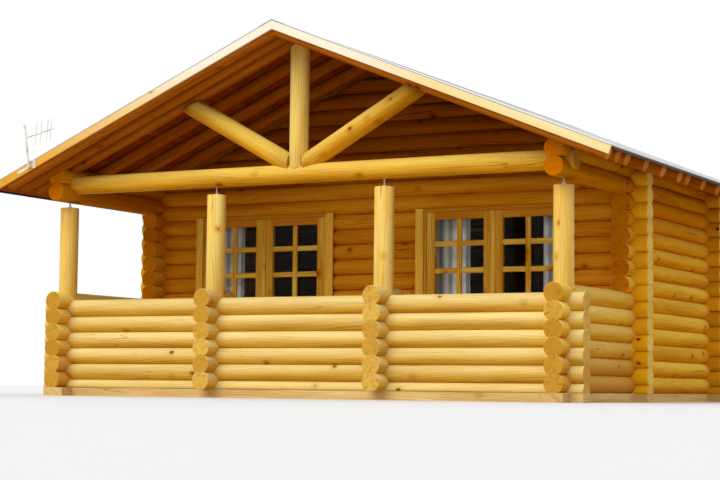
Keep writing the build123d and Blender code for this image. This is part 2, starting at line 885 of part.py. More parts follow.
def pole(start, along, diameter, length):
    """Round bar from a point, in the aerial's plane."""
    with BuildSketch(Plane(origin=start, x_dir=(0, 1, 0), z_dir=along)) as section:
        Circle(diameter / 2)
    extrude(section.sketch, amount=length)


with BuildPart() as aerial:
    pole(mast_foot, mast_up, mast_d, mast_l)
    pole(boom_start, boom_along, boom_d, boom_l)
    for place in element_places:
        middle = boom_start + boom_along * (boom_l * place)
        pole(middle - element_up * (element_l / 2), element_up, element_d, element_l)
    bar_x = mast_x + bar_shift
    with BuildSketch(across_y(roof_front - seam - bar_t)):
        with Locations((bar_x, roof_z(bar_x, covering_t + barge_h / 2))):
            Rectangle(bar_l, bar_h, rotation=left_pitch)
        with Locations((mast_x + strap_x, roof_z(mast_x + strap_x, covering_t + barge_h / 2))):
            Rectangle(strap_w, strap_h)
    extrude(amount=-bar_t)
    block(
        mast_x - clamp_w / 2,
        mast_x + clamp_w / 2,
        aerial_y,
        roof_front - seam,
        mast_foot.Z,
        mast_foot.Z + clamp_h,
    )

parts = {
    "foundation_sills": sills,
    "floor_joists": floor_joists,
    "porch_deck": porch_deck,
    "room_floors": room_floors,
    "porch_front_rail": front_rail,
    "porch_rail_stubs": rail_stubs,
    "porch_side_rails": side_rails,
    "left_wall": left_wall,
    "right_wall": right_wall,
    "front_wall": front_wall,
    "cross_wall": cross_wall,
    "back_wall": back_wall,
    "front_gable": front_gable,
    "back_gable": back_gable,
    "eaves_plates": eaves_plates,
    "tie_beam": tie_beam,
    "porch_posts": porch_posts,
    "post_screws": screws,
    "king_post": king_post,
    "braces": braces,
    "left_rafters": left_rafters,
    "right_rafters": right_rafters,
    "eaves_blocking": eaves_blocking,
    "left_roof_boards": left_boards,
    "right_roof_boards": right_boards,
    "left_roof_covering": left_covering,
    "right_roof_covering": right_covering,
    "roof_edge_strips": edge_strips,
    "ridge_cap": ridge_cap,
    "bargeboards": bargeboards,
    "window_frames": window_frames,
    "cover_boards": cover_boards,
    "window_sashes": window_sashes,
    "window_glass": window_glass,
    "curtain_rods": curtain_rods,
    "inner_door_lining": inner_door_lining,
    "back_door_frame": back_door_frame,
    "back_door": back_door,
    "back_door_handle": door_handle,
    "aerial": aerial,
    **curtains,
}

os.makedirs("parts", exist_ok=True)
for name, made in parts.items():
    made.part.label = name
    export_step(made.part, f"parts/{name}.step")
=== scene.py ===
"""Visual model of the round-log cabin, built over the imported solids. Metres; +X right, +Y back."""

import random
from math import cos, pi, radians, sin, tan

import bmesh
import bpy
from mathutils import Matrix, Vector


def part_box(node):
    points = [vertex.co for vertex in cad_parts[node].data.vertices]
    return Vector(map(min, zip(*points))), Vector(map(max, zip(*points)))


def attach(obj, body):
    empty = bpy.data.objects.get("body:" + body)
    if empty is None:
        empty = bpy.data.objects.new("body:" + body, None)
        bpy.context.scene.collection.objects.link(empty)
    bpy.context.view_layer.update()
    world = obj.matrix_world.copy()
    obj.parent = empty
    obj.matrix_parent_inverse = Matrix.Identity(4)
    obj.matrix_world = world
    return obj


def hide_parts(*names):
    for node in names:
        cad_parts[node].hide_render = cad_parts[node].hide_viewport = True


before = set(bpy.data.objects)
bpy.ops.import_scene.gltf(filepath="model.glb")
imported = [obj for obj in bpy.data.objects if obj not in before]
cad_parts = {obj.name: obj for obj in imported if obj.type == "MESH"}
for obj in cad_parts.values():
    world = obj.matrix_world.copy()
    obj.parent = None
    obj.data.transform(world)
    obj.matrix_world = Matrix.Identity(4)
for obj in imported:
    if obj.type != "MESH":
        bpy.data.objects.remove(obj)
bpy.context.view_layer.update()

# Ground sills and joists: rough sawn beams of pale softwood on the ground under the walls.
# They are sawn square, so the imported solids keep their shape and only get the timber's figure.


class Flow:
    """A value that a node gives. Python's own signs work on it, and each makes the next node."""

    def __init__(self, socket):
        self.socket = socket

    def __add__(self, other):
        return calc("ADD", self, other)

    def __sub__(self, other):
        return calc("SUBTRACT", self, other)

    def __mul__(self, other):
        return calc("MULTIPLY", self, other)

    def __truediv__(self, other):
        return calc("DIVIDE", self, other)

    def __gt__(self, other):
        return calc("GREATER_THAN", self, other)

    def __abs__(self):
        return calc("ABSOLUTE", self)


def feed(made, ports):
    """Fill a node's inputs with plain values or with what other nodes give."""
    for name, value in ports.items():
        if isinstance(value, Flow):
            made.id_data.links.new(value.socket, made.inputs[name])
        else:
            made.inputs[name].default_value = value


def node(tree, kind, ports=None, **settings):
    """Add a node with its settings, and fill its inputs."""
    made = tree.nodes.new(kind)
    for name, value in settings.items():
        setattr(made, name, value)
    feed(made, ports or {})
    return made


def flow(tree, kind, ports=None, output=0, **settings):
    """Add a node, for one of the values that it gives."""
    return Flow(node(tree, kind, ports, **settings).outputs[output])


def flows(made):
    """All that a node gives, by name."""
    return {socket.name: Flow(socket) for socket in made.outputs}


def tree_of(*values):
    """The node tree that the values come from."""
    return next(value for value in values if isinstance(value, Flow)).socket.id_data


def calc(operation, *values):
    """One step of arithmetic."""
    return flow(tree_of(*values), "ShaderNodeMath", dict(enumerate(values)), operation=operation)


def vectors(operation, *values):
    """One step of arithmetic on vectors, for the vector it gives."""
    return flow(tree_of(*values), "ShaderNodeVectorMath", dict(enumerate(values)), operation=operation)


def stretch(vector, x, y, z):
    """A vector with each part multiplied."""
    return vectors("MULTIPLY", vector, (x, y, z))


def joined(x, y, z):
    """A vector made of three parts."""
    return flow(tree_of(x, y, z), "ShaderNodeCombineXYZ", {0: x, 1: y, 2: z})


def parts_of(vector):
    """A vector's X, Y and Z."""
    return [*flows(node(tree_of(vector), "ShaderNodeSeparateXYZ", {0: vector})).values()]


def noise(vector, detail=2.0, rough=0.5):
    """Noise between 0 and 1 at one cell a unit."""
    ports = {"Vector": vector, "Scale": 1.0, "Detail": detail, "Roughness": rough}
    return flow(tree_of(vector), "ShaderNodeTexNoise", ports)


def ramp(value, low, high, to_low=0.0, to_high=1.0):
    """Smooth step of a value between two levels."""
    ports = {"Value": value, "From Min": low, "From Max": high, "To Min": to_low, "To Max": to_high}
    return flow(tree_of(value), "ShaderNodeMapRange", ports, interpolation_type="SMOOTHSTEP")


def blend(share, first, second, mode="MIX"):
    """The first colour going over to the second."""
    ports = {0: share, 6: first, 7: second}
    return flow(tree_of(share), "ShaderNodeMix", ports, 2, data_type="RGBA", blend_type=mode)


def colour(red, green, blue):
    """A colour given as it looks on a screen, from 0 to 255."""
    parts = [c / 255 for c in (red, green, blue)]
    return tuple(c / 12.92 if c < 0.04045 else ((c + 0.055) / 1.055) ** 2.4 for c in parts) + (1,)


def new_pattern(name, **inputs):
    """A shader node group for a colour and a height, with its named inputs and its end node."""
    group = bpy.data.node_groups.new(name, "ShaderNodeTree")
    for label, kind in inputs.items():
        group.interface.new_socket(label, in_out="INPUT", socket_type=f"NodeSocket{kind}")
    for label, kind in (("Colour", "Color"), ("Height", "Float")):
        group.interface.new_socket(label, in_out="OUTPUT", socket_type=f"NodeSocket{kind}")
    return group, flows(group.nodes.new("NodeGroupInput")), group.nodes.new("NodeGroupOutput")


timber_figure, given, wanted = new_pattern(
    "timber figure",
    Along="Float",
    Across="Float",
    Seed="Float",
    Light="Color",
    Dark="Color",
    Knot="Color",
    Knots="Float",
    Checks="Float",
)
place = joined(given["Along"], given["Across"], given["Seed"])
bend = noise(stretch(place, 0.9, 5.0, 3.0), 1.0)
broad = noise(stretch(place, 0.8, 11.0, 3.0), 3.0)
fine = noise(stretch(place, 3.0, 95.0, 3.0), 2.0, 0.6)
bands = calc("SINE", given["Across"] * 330.0 + bend * 60.0)
figure = bands * 0.09 + fine * 0.55 + broad * 0.75
ports = {"Vector": stretch(place, 3.1, 4.0, 9.0), "Scale": 1.0}
cells = flows(node(timber_figure, "ShaderNodeTexVoronoi", ports))
draw = flow(timber_figure, "ShaderNodeSeparateColor", {0: cells["Color"]})
near_knot = ramp(draw, 0.36, 0.41) * given["Knots"]
halo = ramp(cells["Distance"], 0.26, 0.06) * near_knot
knot = ramp(cells["Distance"], 0.11, 0.05) * near_knot
lines = abs(noise(stretch(place, 0.7, 13.0, 3.0), 1.0) - 0.5)
where = ramp(noise(stretch(place, 1.1, 4.0, 5.0), 0.0), 0.56, 0.66)
check = ramp(lines, 0.007, 0.002) * where * given["Checks"]
wood = blend(ramp(halo * 0.32 + figure, 0.4, 0.95), given["Light"], given["Dark"])
wood = blend(knot, wood, given["Knot"])
wood = blend(check * 0.75, wood, given["Knot"])
feed(wanted, {"Colour": wood, "Height": fine * 0.25 - check * 1.6})


def figured(tree, along, across, seed, light, dark, knot, knots=1.0, checks=0.3):
    """The figure of a piece of timber, by how far along and across it a spot lies."""
    ports = {"Along": along, "Across": across, "Seed": seed, "Light": light, "Dark": dark, "Knot": knot}
    ports.update({"Knots": knots, "Checks": checks})
    return flows(node(tree, "ShaderNodeGroup", ports, node_tree=timber_figure))


def new_material(name, **plain):
    """A material with one Principled shader, whose plain values are set on its own sockets."""
    made = bpy.data.materials.new(name)
    made.use_nodes = True
    shader = made.node_tree.nodes["Principled BSDF"]
    feed(shader, {label.replace("_", " "): value for label, value in plain.items()})
    return made, made.node_tree, shader


def object_place(tree):
    """Where a spot lies on the cabin."""
    return flow(tree, "ShaderNodeTexCoord", output="Object")


def surfaced(shader, surface, height, depth):
    """Give a shader its colour, and its normal from a height."""
    bump = {"Height": height, "Distance": depth, "Strength": 1.0}
    feed(shader, {"Base Color": surface, "Normal": flow(shader.id_data, "ShaderNodeBump", bump)})


def sawn_timber(name, axes, light, dark, knot, checks=0.3, rough=0.6, turned=0.0):
    """Timber sawn along the first of the axes, or along Y where it lies further out than turned."""
    made, tree, shader = new_material(name, Roughness=rough)
    spot = parts_of(object_place(tree))
    run, up, side = (spot[axis] for axis in axes)
    if turned:
        outer = abs(spot[0]) > turned
        run = outer * (spot[1] - spot[0]) + spot[0]
        side = outer * (spot[0] - spot[1]) + spot[1]
    woods = (colour(*wood) for wood in (light, dark, knot))
    figure = figured(tree, run, side * 0.8 + up, side * 0.5, *woods, checks=checks)
    surfaced(shader, figure["Colour"], figure["Height"], 0.0008)
    return made


def finish_node(name, material):
    """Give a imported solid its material."""
    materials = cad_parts[name].data.materials
    materials.clear()
    materials.append(material)


sill_timber = sawn_timber(
    "sawn sill timber", (0, 2, 1), (236, 200, 128), (194, 150, 76), (116, 74, 34), 1.0, 0.8, turned=2.8
)
finish_node("foundation_sills", sill_timber)
finish_node("floor_joists", sill_timber)

# Round logs: milled pine of one diameter, oiled honey yellow. Each log is scribed on its underside
# over the one below; where it crosses another, the two run into each other. The ends are sawn square, edges
# eased.

log_end_rings, given, wanted = new_pattern(
    "log end rings", Side="Float", Up="Float", Seed="Float", Light="Color", Dark="Color"
)
place = joined(given["Side"], given["Up"], given["Seed"])
pith_off = noise(stretch(place, 0.0, 0.0, 7.0), 0.0) * 0.05 - 0.025
side_off = given["Side"] + pith_off
up_off = given["Up"] - pith_off
from_pith = calc("SQRT", side_off * side_off + up_off * up_off)
wobble = noise(stretch(place, 22.0, 22.0, 5.0), 1.0) * 0.012
ring_w = 0.007
rings = calc("SINE", (from_pith + wobble) * (2 * pi / ring_w))
blotch = noise(stretch(place, 30.0, 30.0, 3.0), 3.0)
ray = joined(calc("ARCTAN2", side_off, up_off) * 1.6, given["Seed"], 0.0)
ray_line = abs(noise(ray, 2.0) - 0.5)
split = ramp(ray_line, 0.006, 0.001) * ramp(from_pith, 0.008, 0.05)
share = rings * 0.16 + blotch * 0.9 - 0.1
wood = blend(ramp(share, 0.0, 1.0), given["Light"], given["Dark"])
wood = blend(split * 0.5, wood, colour(104, 60, 20))
feed(wanted, {"Colour": wood, "Height": rings * 0.2 - split * 2.0})


def grain_of(tree):
    """Where a spot lies along, beside and above its own log or board, its tone, and if it is an end."""
    along, side, up = parts_of(flow(tree, "ShaderNodeAttribute", output="Vector", attribute_name="grain"))
    tone, end = (flow(tree, "ShaderNodeAttribute", output="Fac", attribute_name=n) for n in ("tone", "end"))
    return along, side, up, tone, end


def round_timber_finish(name, *woods, gloss=0.0, painted_top_light=None, outer=None, splashed=None, shaded_under_eaves=False):
    """Oiled round timber: figure along each log, rings and splits on its sawn ends.

    The woods are its light, dark and knot colours, then the light and dark of its ends. Where a
    Where a top light colour is given, it is painted light: each log's upper side is paler and its
    underside deeper, as light from above would make them. Where the eaves' shade is asked for, this
    fades higher up and the light colour goes over to the dark, as painted shade under the eaves.
    An outer colour is taken on by the stretches that stick out past the side walls, and a splashed
    colour by the lowest courses.
    """
    made, tree, shader = new_material(name, Roughness=0.48, Specular_IOR_Level=gloss, IOR=1.2)
    light, dark, knot, end_light, end_dark = (colour(*wood) for wood in woods)
    along, side, up, tone, end = grain_of(tree)
    seed = tone * 17.0
    place = object_place(tree)
    x, _, z = parts_of(place)
    tints = []
    if painted_top_light:
        # Painted highlight: the upper side of each log is paler and its underside deeper, by the spot's angle
        # round the log.
        painted_top_light_share = ramp(up / calc("SQRT", side * side + up * up), -0.75, 0.75)
        if shaded_under_eaves:
            # Painted shade under the eaves: higher up, the painted top light fades and the light colour goes
            # over to the dark.
            painted_top_light_share = painted_top_light_share * ramp(z, 2.15, 1.2, 0.05, 1.0)
            painted_eaves_shade = ramp(z, 1.3, 2.1, 0.0, 0.9)
            tints.append((painted_eaves_shade, 0.0, woods[1]))
        tints.append((painted_top_light_share, 0.6, painted_top_light))
    if splashed:
        patchy = z + noise(stretch(place, 3.0, 3.0, 3.0), 2.0) * 0.5
        tints.append((ramp(patchy, 0.9, 0.5, 0.0, 0.8), 0.625, splashed))
    if outer:
        tints.append((ramp(abs(x), 2.9, 3.0), 0.8, outer))
    light_now, dark_now = light, dark
    for mask, on_dark, tint in tints:
        light_now = blend(mask, light_now, colour(*tint))
        dark_now = blend(mask * on_dark, dark_now, colour(*tint))
    around = calc("ARCTAN2", side, up) * 0.1
    figure = figured(tree, along, around, seed, light_now, dark_now, knot, checks=0.8)
    ports = {"Side": side, "Up": up, "Seed": seed, "Light": end_light, "Dark": end_dark}
    rings = flows(node(tree, "ShaderNodeGroup", ports, node_tree=log_end_rings))
    surface = blend(ramp(tone, 0.0, 1.0, 0.0, 0.3), figure["Colour"], dark)
    sawn = blend(ramp(tone, 0.0, 1.0, 0.0, 0.7), rings["Colour"], end_dark)
    relief = flow(tree, "ShaderNodeMix", {0: end, 2: figure["Height"], 3: rings["Height"]})
    surfaced(shader, blend(end, surface, sawn), relief, 0.0012)
    return made


rail_logs_with_painted_top_light = round_timber_finish(
    "pine logs with painted light on top",
    *((230, 178, 46), (188, 128, 6), (140, 76, 10), (240, 198, 92), (192, 132, 30)),
    gloss=0.2,
    painted_top_light=(252, 230, 152),
)
truss_logs = round_timber_finish(
    "golden pine logs of the truss",
    *((240, 176, 38), (200, 126, 6), (146, 76, 6), (214, 156, 50), (176, 114, 20)),
    gloss=0.1,
    painted_top_light=(249, 214, 98),
)
golden_logs = round_timber_finish(
    "golden pine logs of the side rails",
    *((246, 184, 34), (208, 136, 4), (150, 82, 8), (226, 176, 70), (190, 130, 30)),
    gloss=0.1,
    painted_top_light=(255, 234, 124),
    splashed=(206, 142, 60),
)
side_logs = round_timber_finish(
    "pine logs of the side walls",
    *((250, 174, 26), (206, 120, 4), (152, 72, 4), (222, 138, 8), (184, 98, 0)),
    painted_top_light=(255, 222, 90),
    shaded_under_eaves=True,
)
pale_logs = round_timber_finish(
    "pale pine posts",
    *((255, 228, 132), (236, 182, 72), (172, 100, 24), (238, 196, 98), (206, 150, 52)),
    gloss=0.2,
)
sheltered_logs = round_timber_finish(
    "pine logs under the roof",
    *((244, 170, 36), (208, 120, 10), (146, 62, 2), (255, 222, 126), (232, 188, 86)),
    outer=(255, 190, 30),
)
# Painted shade: the logs inside, between the rooms, are much darker than the others for the dim room; their
# ends outside the side walls keep the ordinary log colour.
inner_wall_logs = round_timber_finish(
    "pine logs between the rooms, darkened as painted shade",
    *((126, 74, 26), (88, 46, 12), (60, 28, 6), (255, 222, 126), (232, 188, 86)),
    outer=(248, 172, 22),
)
# Painted shade: the wall plates are darker than the side walls' logs, for the shade under the eaves.
plate_logs = round_timber_finish(
    "pine logs of the wall plates",
    *((224, 150, 18), (180, 100, 4), (120, 52, 2), (232, 138, 8), (196, 102, 2)),
)
# Painted shade: the front gable's logs are darker than the front wall's logs below them, for the shade under
# the roof.
gable_logs = round_timber_finish(
    "pine logs of the open gable, darkened as painted shade",
    *((194, 112, 12), (142, 62, 2), (96, 36, 0), (232, 138, 8), (196, 102, 2)),
)


def new_modifier(name, **inputs):
    """A Geometry Nodes tree with named inputs."""
    tree = bpy.data.node_groups.new(name, "GeometryNodeTree")
    tree.is_modifier = True
    for label, kind in {"Geometry": "Geometry", **inputs}.items():
        tree.interface.new_socket(label, in_out="INPUT", socket_type=f"NodeSocket{kind}")
    tree.interface.new_socket("Geometry", in_out="OUTPUT", socket_type="NodeSocketGeometry")
    return tree, flows(tree.nodes.new("NodeGroupInput"))


def marked(tree, name, kind="FLOAT"):
    """A value kept on a mesh under a name."""
    return flow(tree, "GeometryNodeInputNamedAttribute", {"Name": name}, "Attribute", data_type=kind)


def stored(mesh, name, value, kind="FLOAT", domain="POINT"):
    """The mesh with a value kept on it under a name."""
    ports = {"Geometry": mesh, "Name": name, "Value": value}
    tree = tree_of(mesh)
    return flow(tree, "GeometryNodeStoreNamedAttribute", ports, data_type=kind, domain=domain)


def reach(vector, axis):
    """How far a vector reaches along an axis."""
    ports = {0: vector, 1: axis}
    return flow(tree_of(vector), "ShaderNodeVectorMath", ports, "Value", operation="DOT_PRODUCT")


def scaled(vector, by):
    """A vector made longer or shorter."""
    return flow(tree_of(vector), "ShaderNodeVectorMath", {0: vector, "Scale": by}, operation="SCALE")


def end_tree(mesh, smooth, timber):
    """End a tree of Geometry Nodes with its shading, real copies and the material."""
    tree = tree_of(mesh)
    mesh = flow(tree, "GeometryNodeSetShadeSmooth", {"Geometry": mesh, "Shade Smooth": smooth})
    mesh = flow(tree, "GeometryNodeRealizeInstances", {"Geometry": mesh})
    mesh = flow(tree, "GeometryNodeSetMaterial", {"Geometry": mesh, "Material": timber})
    node(tree, "NodeGroupOutput", {"Geometry": mesh})


# The tree sweeps each log round its axis, wavers it a little, keeps its sides within the flats
# that it has, hollows its underside over the log below, and stores what the finish needs. The
# hollow of a log without a cup is moved ten metres down, out of its way.
round_timber, given = new_modifier(
    "round timber", Sides="Int", Course="Float", Waver="Float", Timber="Material"
)
t = round_timber
half = marked(t, "thick") * 0.5
axis = flow(t, "GeometryNodeMeshToCurve", {"Mesh": given["Geometry"]})
rim = flow(t, "GeometryNodeCurvePrimitiveCircle", {"Resolution": given["Sides"], "Radius": 1.0})
ports = {"Curve": axis, "Profile Curve": rim, "Scale": half, "Fill Caps": True}
swept = flow(t, "GeometryNodeCurveToMesh", ports)
start, run, side, rise = (marked(t, name, "FLOAT_VECTOR") for name in ("start", "run", "side", "rise"))
from_start = vectors("SUBTRACT", flow(t, "GeometryNodeInputPosition"), start)
far, off, up = (reach(from_start, axis) for axis in (run, side, rise))
seed = marked(t, "seed")
swell = noise(joined(seed * 31.0 + far * 1.1, off * 6.0, up * 6.0), 1.0) - 0.5
swell = swell * given["Waver"] / half
new_up = calc("MINIMUM", up * swell + up, marked(t, "high"))
log_r = marked(t, "full") * 0.5
under = calc("MAXIMUM", log_r * log_r - off * off, 0.0)
hollow = (marked(t, "cup") - 1.0) * 10.0 + (calc("SQRT", under) - given["Course"])
new_up = calc("MAXIMUM", new_up, calc("MAXIMUM", hollow, marked(t, "low")))
offset = vectors("ADD", scaled(rise, new_up - up), scaled(side, off * swell))
logs = flow(t, "GeometryNodeSetPosition", {"Geometry": swept, "Offset": offset})
is_end = abs(reach(flow(t, "GeometryNodeInputNormal"), run)) > 0.8
logs = stored(logs, "grain", joined(seed * 11.0 + far, off, up), "FLOAT_VECTOR")
logs = stored(logs, "tone", seed)
logs = stored(logs, "end", is_end, domain="FACE")
end_tree(logs, calc("SUBTRACT", 1.0, is_end), given["Timber"])


def new_object(name, data):
    """An object in the scene."""
    made = bpy.data.objects.new(name, data)
    bpy.context.scene.collection.objects.link(made)
    return made


def grow(name, base, tree, **values):
    """The piece that a tree of Geometry Nodes makes of a mesh, as a plain mesh of its own."""
    piece = new_object(name, base)
    modifier = piece.modifiers.new(tree.name, "NODES")
    modifier.node_group = tree
    for socket in tree.interface.items_tree:
        if socket.name in values:
            modifier[socket.identifier] = values[socket.name]
    depsgraph = bpy.context.evaluated_depsgraph_get()
    body = bpy.data.meshes.new_from_object(
        piece.evaluated_get(depsgraph), preserve_all_data_layers=True, depsgraph=depsgraph
    )
    piece.modifiers.clear()
    piece.data = body
    return piece


def settle(piece, slot, *nodes):
    """Fix a piece to the cabin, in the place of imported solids."""
    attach(piece, "root")
    if nodes:
        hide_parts(*nodes)


def keep(mesh, label, values):
    """Keep a number or a vector for each point of a mesh."""
    if isinstance(values[0], Vector):
        layer = mesh.attributes.new(label, "FLOAT_VECTOR", "POINT")
        layer.data.foreach_set("vector", [part for value in values for part in value])
    else:
        layer = mesh.attributes.new(label, "FLOAT", "POINT")
        layer.data.foreach_set("value", values)


log_t = 0.2


def log(start, end, key, rise=(0, 0, 1), thick=log_t, low=-1.0, high=1.0, cup=0, eased=(1, 1), origin=None):
    """One log between two points. low and high are its flats, cup says that it sits on a log."""
    start, end, rise = Vector(start), Vector(end), Vector(rise)
    run = (end - start).normalized()
    length = (end - start).length
    ease, step = 0.004, 0.5
    steps = max(1, round((length - 2 * ease) / step))
    stations = [(ease + (length - 2 * ease) * n / steps, thick) for n in range(steps + 1)]
    stations.insert(0, (0.0, thick - 2 * ease * eased[0]))
    stations.append((length, thick - 2 * ease * eased[1]))
    kept = {
        "start": Vector(origin) if origin else start,
        "run": run,
        "side": run.cross(rise).normalized(),
        "rise": rise,
        "full": thick,
        "low": low,
        "high": high,
        "cup": float(cup),
        "seed": random.Random(key).random(),
    }
    return [(start + run * far, {**kept, "thick": wide}) for far, wide in stations]


def saw_off(mesh, cuts):
    """Saw a piece with planes, each a point and the direction of the waste, and close the cuts."""
    shape = bmesh.new()
    shape.from_mesh(mesh)
    end = shape.faces.layers.float["end"]
    for point, waste in cuts:
        whole = shape.verts[:] + shape.edges[:] + shape.faces[:]
        cut = bmesh.ops.bisect_plane(
            shape, geom=whole, dist=1e-6, plane_co=point, plane_no=waste, clear_outer=True
        )
        rim = [e for e in cut["geom_cut"] if isinstance(e, bmesh.types.BMEdge) and e.is_boundary]
        if rim:
            for face in bmesh.ops.edgeloop_fill(shape, edges=rim)["faces"]:
                face.smooth = False
                face[end] = 1.0
    shape.to_mesh(mesh)
    shape.free()


def make_logs(name, stands_for, logs, timber, cuts=(), slot="log_wood"):
    """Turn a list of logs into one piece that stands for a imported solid."""
    points, edges = [], []
    for stations in logs:
        first = len(points)
        points += stations
        edges += [(n, n + 1) for n in range(first, len(points) - 1)]
    axes = bpy.data.meshes.new(name)
    axes.from_pydata([point for point, _ in points], edges, [])
    for label in points[0][1]:
        keep(axes, label, [kept[label] for _, kept in points])
    piece = grow(name, axes, round_timber, Sides=28, Course=course, Waver=0.004, Timber=timber)
    for label in points[0][1]:
        if label in piece.data.attributes:
            piece.data.attributes.remove(piece.data.attributes[label])
    if cuts:
        saw_off(piece.data, cuts)
    settle(piece, slot, stands_for)


# Veranda rails and side walls: logs laid on the sills, course on course. The front rail, the two
# short stacks that cross it and the side rails are six logs high, the side walls twelve. Between
# two pieces that meet is a hair of a seam.
course, seam = 0.17, 0.0003
sill_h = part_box("foundation_sills")[1].z
low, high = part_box("left_wall")
half_w = (high.x - low.x) / 2 - high.x
x_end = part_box("front_wall")[1].x
y_rail, y_front, y_cross, y_back = (
    sum(corner.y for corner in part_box(name)) / 2
    for name in ("porch_front_rail", "front_wall", "cross_wall", "back_wall")
)
beyond = y_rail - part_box("porch_rail_stubs")[0].y


def front_log(y, n, low_x, high_x, **cuts):
    """Log n of a wall that runs from side to side. The lowest is a half log."""
    z = sill_h + n * course
    cuts = {"cup": n > 0, "low": -1.0 if n else 0.0, **cuts}
    return log((low_x, y, z), (high_x, y, z), f"front {y:.2f} {n}", origin=(-x_end, y, z), **cuts)


def side_log(x, n, low_y, high_y, **cuts):
    """Log n of a wall that runs from front to back, half a course above the front logs."""
    z = sill_h + (n + 0.5) * course
    cuts = {"cup": n > 0, "low": -1.0 if n else seam - course / 2, **cuts}
    key = f"side {x:.2f} {n} {low_y > y_front - 1}"
    return log((x, low_y, z), (x, high_y, z), key, origin=(x, low_y, z), **cuts)


post_xs = (-half_w, -0.995, 0.995, half_w)
side_xs = (-half_w, half_w)
rail = [front_log(y_rail, n, -x_end, x_end) for n in range(6)]
stubs = [side_log(x, n, y_rail - beyond, y_rail + beyond) for x in post_xs[1:3] for n in range(6)]
rails = [side_log(x, n, y_rail - beyond, y_front) for x in side_xs for n in range(6)]
make_logs("porch_front_rail_logs", "porch_front_rail", rail, rail_logs_with_painted_top_light)
make_logs("porch_rail_stub_logs", "porch_rail_stubs", stubs, rail_logs_with_painted_top_light)
make_logs("porch_side_rail_logs", "porch_side_rails", rails, golden_logs)
for x, name in zip(side_xs, ("left_wall", "right_wall")):
    wall = [side_log(x, n, y_front - beyond * (n > 5), y_back + beyond) for n in range(12)]
    make_logs(f"{name}_logs", name, wall, side_logs)

# Front wall between the veranda and the first room. Its logs stop at the two window openings,
# and the ones over and under an opening are cut flat. The top log's ends are sawn to the roof.
window_xs = (-1.44, 1.42)
window_low, window_high = (corner.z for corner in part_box("window_frames"))
window_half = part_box("window_frames")[1].x - window_xs[1]
ridge_z, rafter_axis, rafter_t = 3.794, 0.074, 0.14
slopes = ((-1, "left", radians(23.1)), (1, "right", radians(22.1)))


def out_of_roof(side, pitch):
    """Square out of one slope of the roof."""
    return Vector((side * sin(pitch), 0, cos(pitch)))


def roof_cut(side, pitch, depth):
    """Plane at a depth under one slope, as a point and the direction out of the roof."""
    return Vector((0, 0, ridge_z - depth / cos(pitch))), out_of_roof(side, pitch)


rafter_foot = rafter_axis + rafter_t / 2 + seam
under_rafters = [roof_cut(side, pitch, rafter_foot) for side, _, pitch in slopes]


def logs_past_openings(y, openings):
    """Front logs of a wall, stopped or cut flat at openings given as left, right, low and high.

    The stopped ends of a log that goes on under or over an opening stay sharp.
    """
    logs = []
    sill_lap, half_t = 0.07, log_t / 2
    low, high = openings[0][2:]
    stops = [-x_end, *(edge for opening in openings for edge in opening[:2]), x_end]
    for n in range(14):
        z = sill_h + n * course
        top, bottom = z + half_t, z - half_t
        if bottom > high or top < low:
            logs.append(front_log(y, n, -x_end, x_end))
            continue
        for m, (left, right) in enumerate(zip(stops, stops[1:])):
            if m % 2 == 0:
                goes_on = z - sill_lap < low or z + course / 2 > high
                eased = (m == 0, m == len(stops) - 2) if goes_on else (1, 1)
                logs.append(front_log(y, n, left, right, eased=eased))
            elif top > low and z < low:
                logs.append(front_log(y, n, left, right, eased=(0, 0), high=low - z))
            elif bottom < high and z > high:
                logs.append(front_log(y, n, left, right, eased=(0, 0), low=high - z, cup=0))
    return logs


windows = [(x - window_half, x + window_half, window_low, window_high) for x in window_xs]
wall = logs_past_openings(y_front, windows)
make_logs("front_wall_logs", "front_wall", wall, sheltered_logs, under_rafters)

# Wall between the two rooms, with an open doorway, and back wall with the back door. Their log
# ends show outside at the side walls.
door_half, door_high = 0.465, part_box("inner_door_lining")[1].z
doorway = [(-door_half, door_half, 0.0, door_high)]
make_logs("cross_wall_logs", "cross_wall", logs_past_openings(y_cross, doorway), inner_wall_logs)
make_logs("back_wall_logs", "back_wall", logs_past_openings(y_back, doorway), side_logs, under_rafters)

# Gables: the front and back walls go on upward, course on course, and the ends of their logs are
# sawn to the roof's slopes.
for name, y, timber in (("front_gable", y_front, gable_logs), ("back_gable", y_back, side_logs)):
    wall = [front_log(y, n, -x_end, x_end) for n in range(14, 22)]
    make_logs(f"{name}_logs", name, wall, timber, under_rafters)

# Wall plates: the two top logs of each side, which run out over the veranda and carry the roof.
# The lower one is in two lengths, which meet just before the front wall.
plates = []
for x in side_xs:
    plates.append(side_log(x, 12, y_rail - beyond, y_front - beyond, eased=(1, 0), cup=0))
    plates.append(side_log(x, 12, y_front - beyond, y_back + beyond, eased=(0, 1)))
    plates.append(side_log(x, 13, y_rail - beyond, y_back + beyond))
make_logs("eaves_plate_logs", "eaves_plates", plates, plate_logs)

# Truss in the open gable: a round tie beam across the veranda, a king post and two braces,
# all sawn to the underside of the rafters over them.
tie_z = sill_h + 13 * course
tie_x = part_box("tie_beam")[1].x
tie = [log((-tie_x, y_rail, tie_z), (tie_x, y_rail, tie_z), "tie beam")]
make_logs("tie_beam_log", "tie_beam", tie, truss_logs, under_rafters)
foot = Vector((0, y_rail, tie_z + 0.05))
king = [log(foot, (0, y_rail, ridge_z), "king post", rise=(0, 1, 0))]
make_logs("king_post_log", "king_post", king, pale_logs, under_rafters)
lean, past_roof, post_side = radians(29), 2.4, 0.088
for side, hand, _ in slopes:
    name = f"{hand}_brace_log"
    along = Vector((side * cos(lean), 0, sin(lean)))
    brace = [log(foot, foot + along * past_roof, name, rise=(-side * sin(lean), 0, cos(lean)))]
    beside_post = (Vector((side * post_side, 0, 0)), Vector((-side, 0, 0)))
    make_logs(name, "braces", brace, truss_logs, [*under_rafters, beside_post])

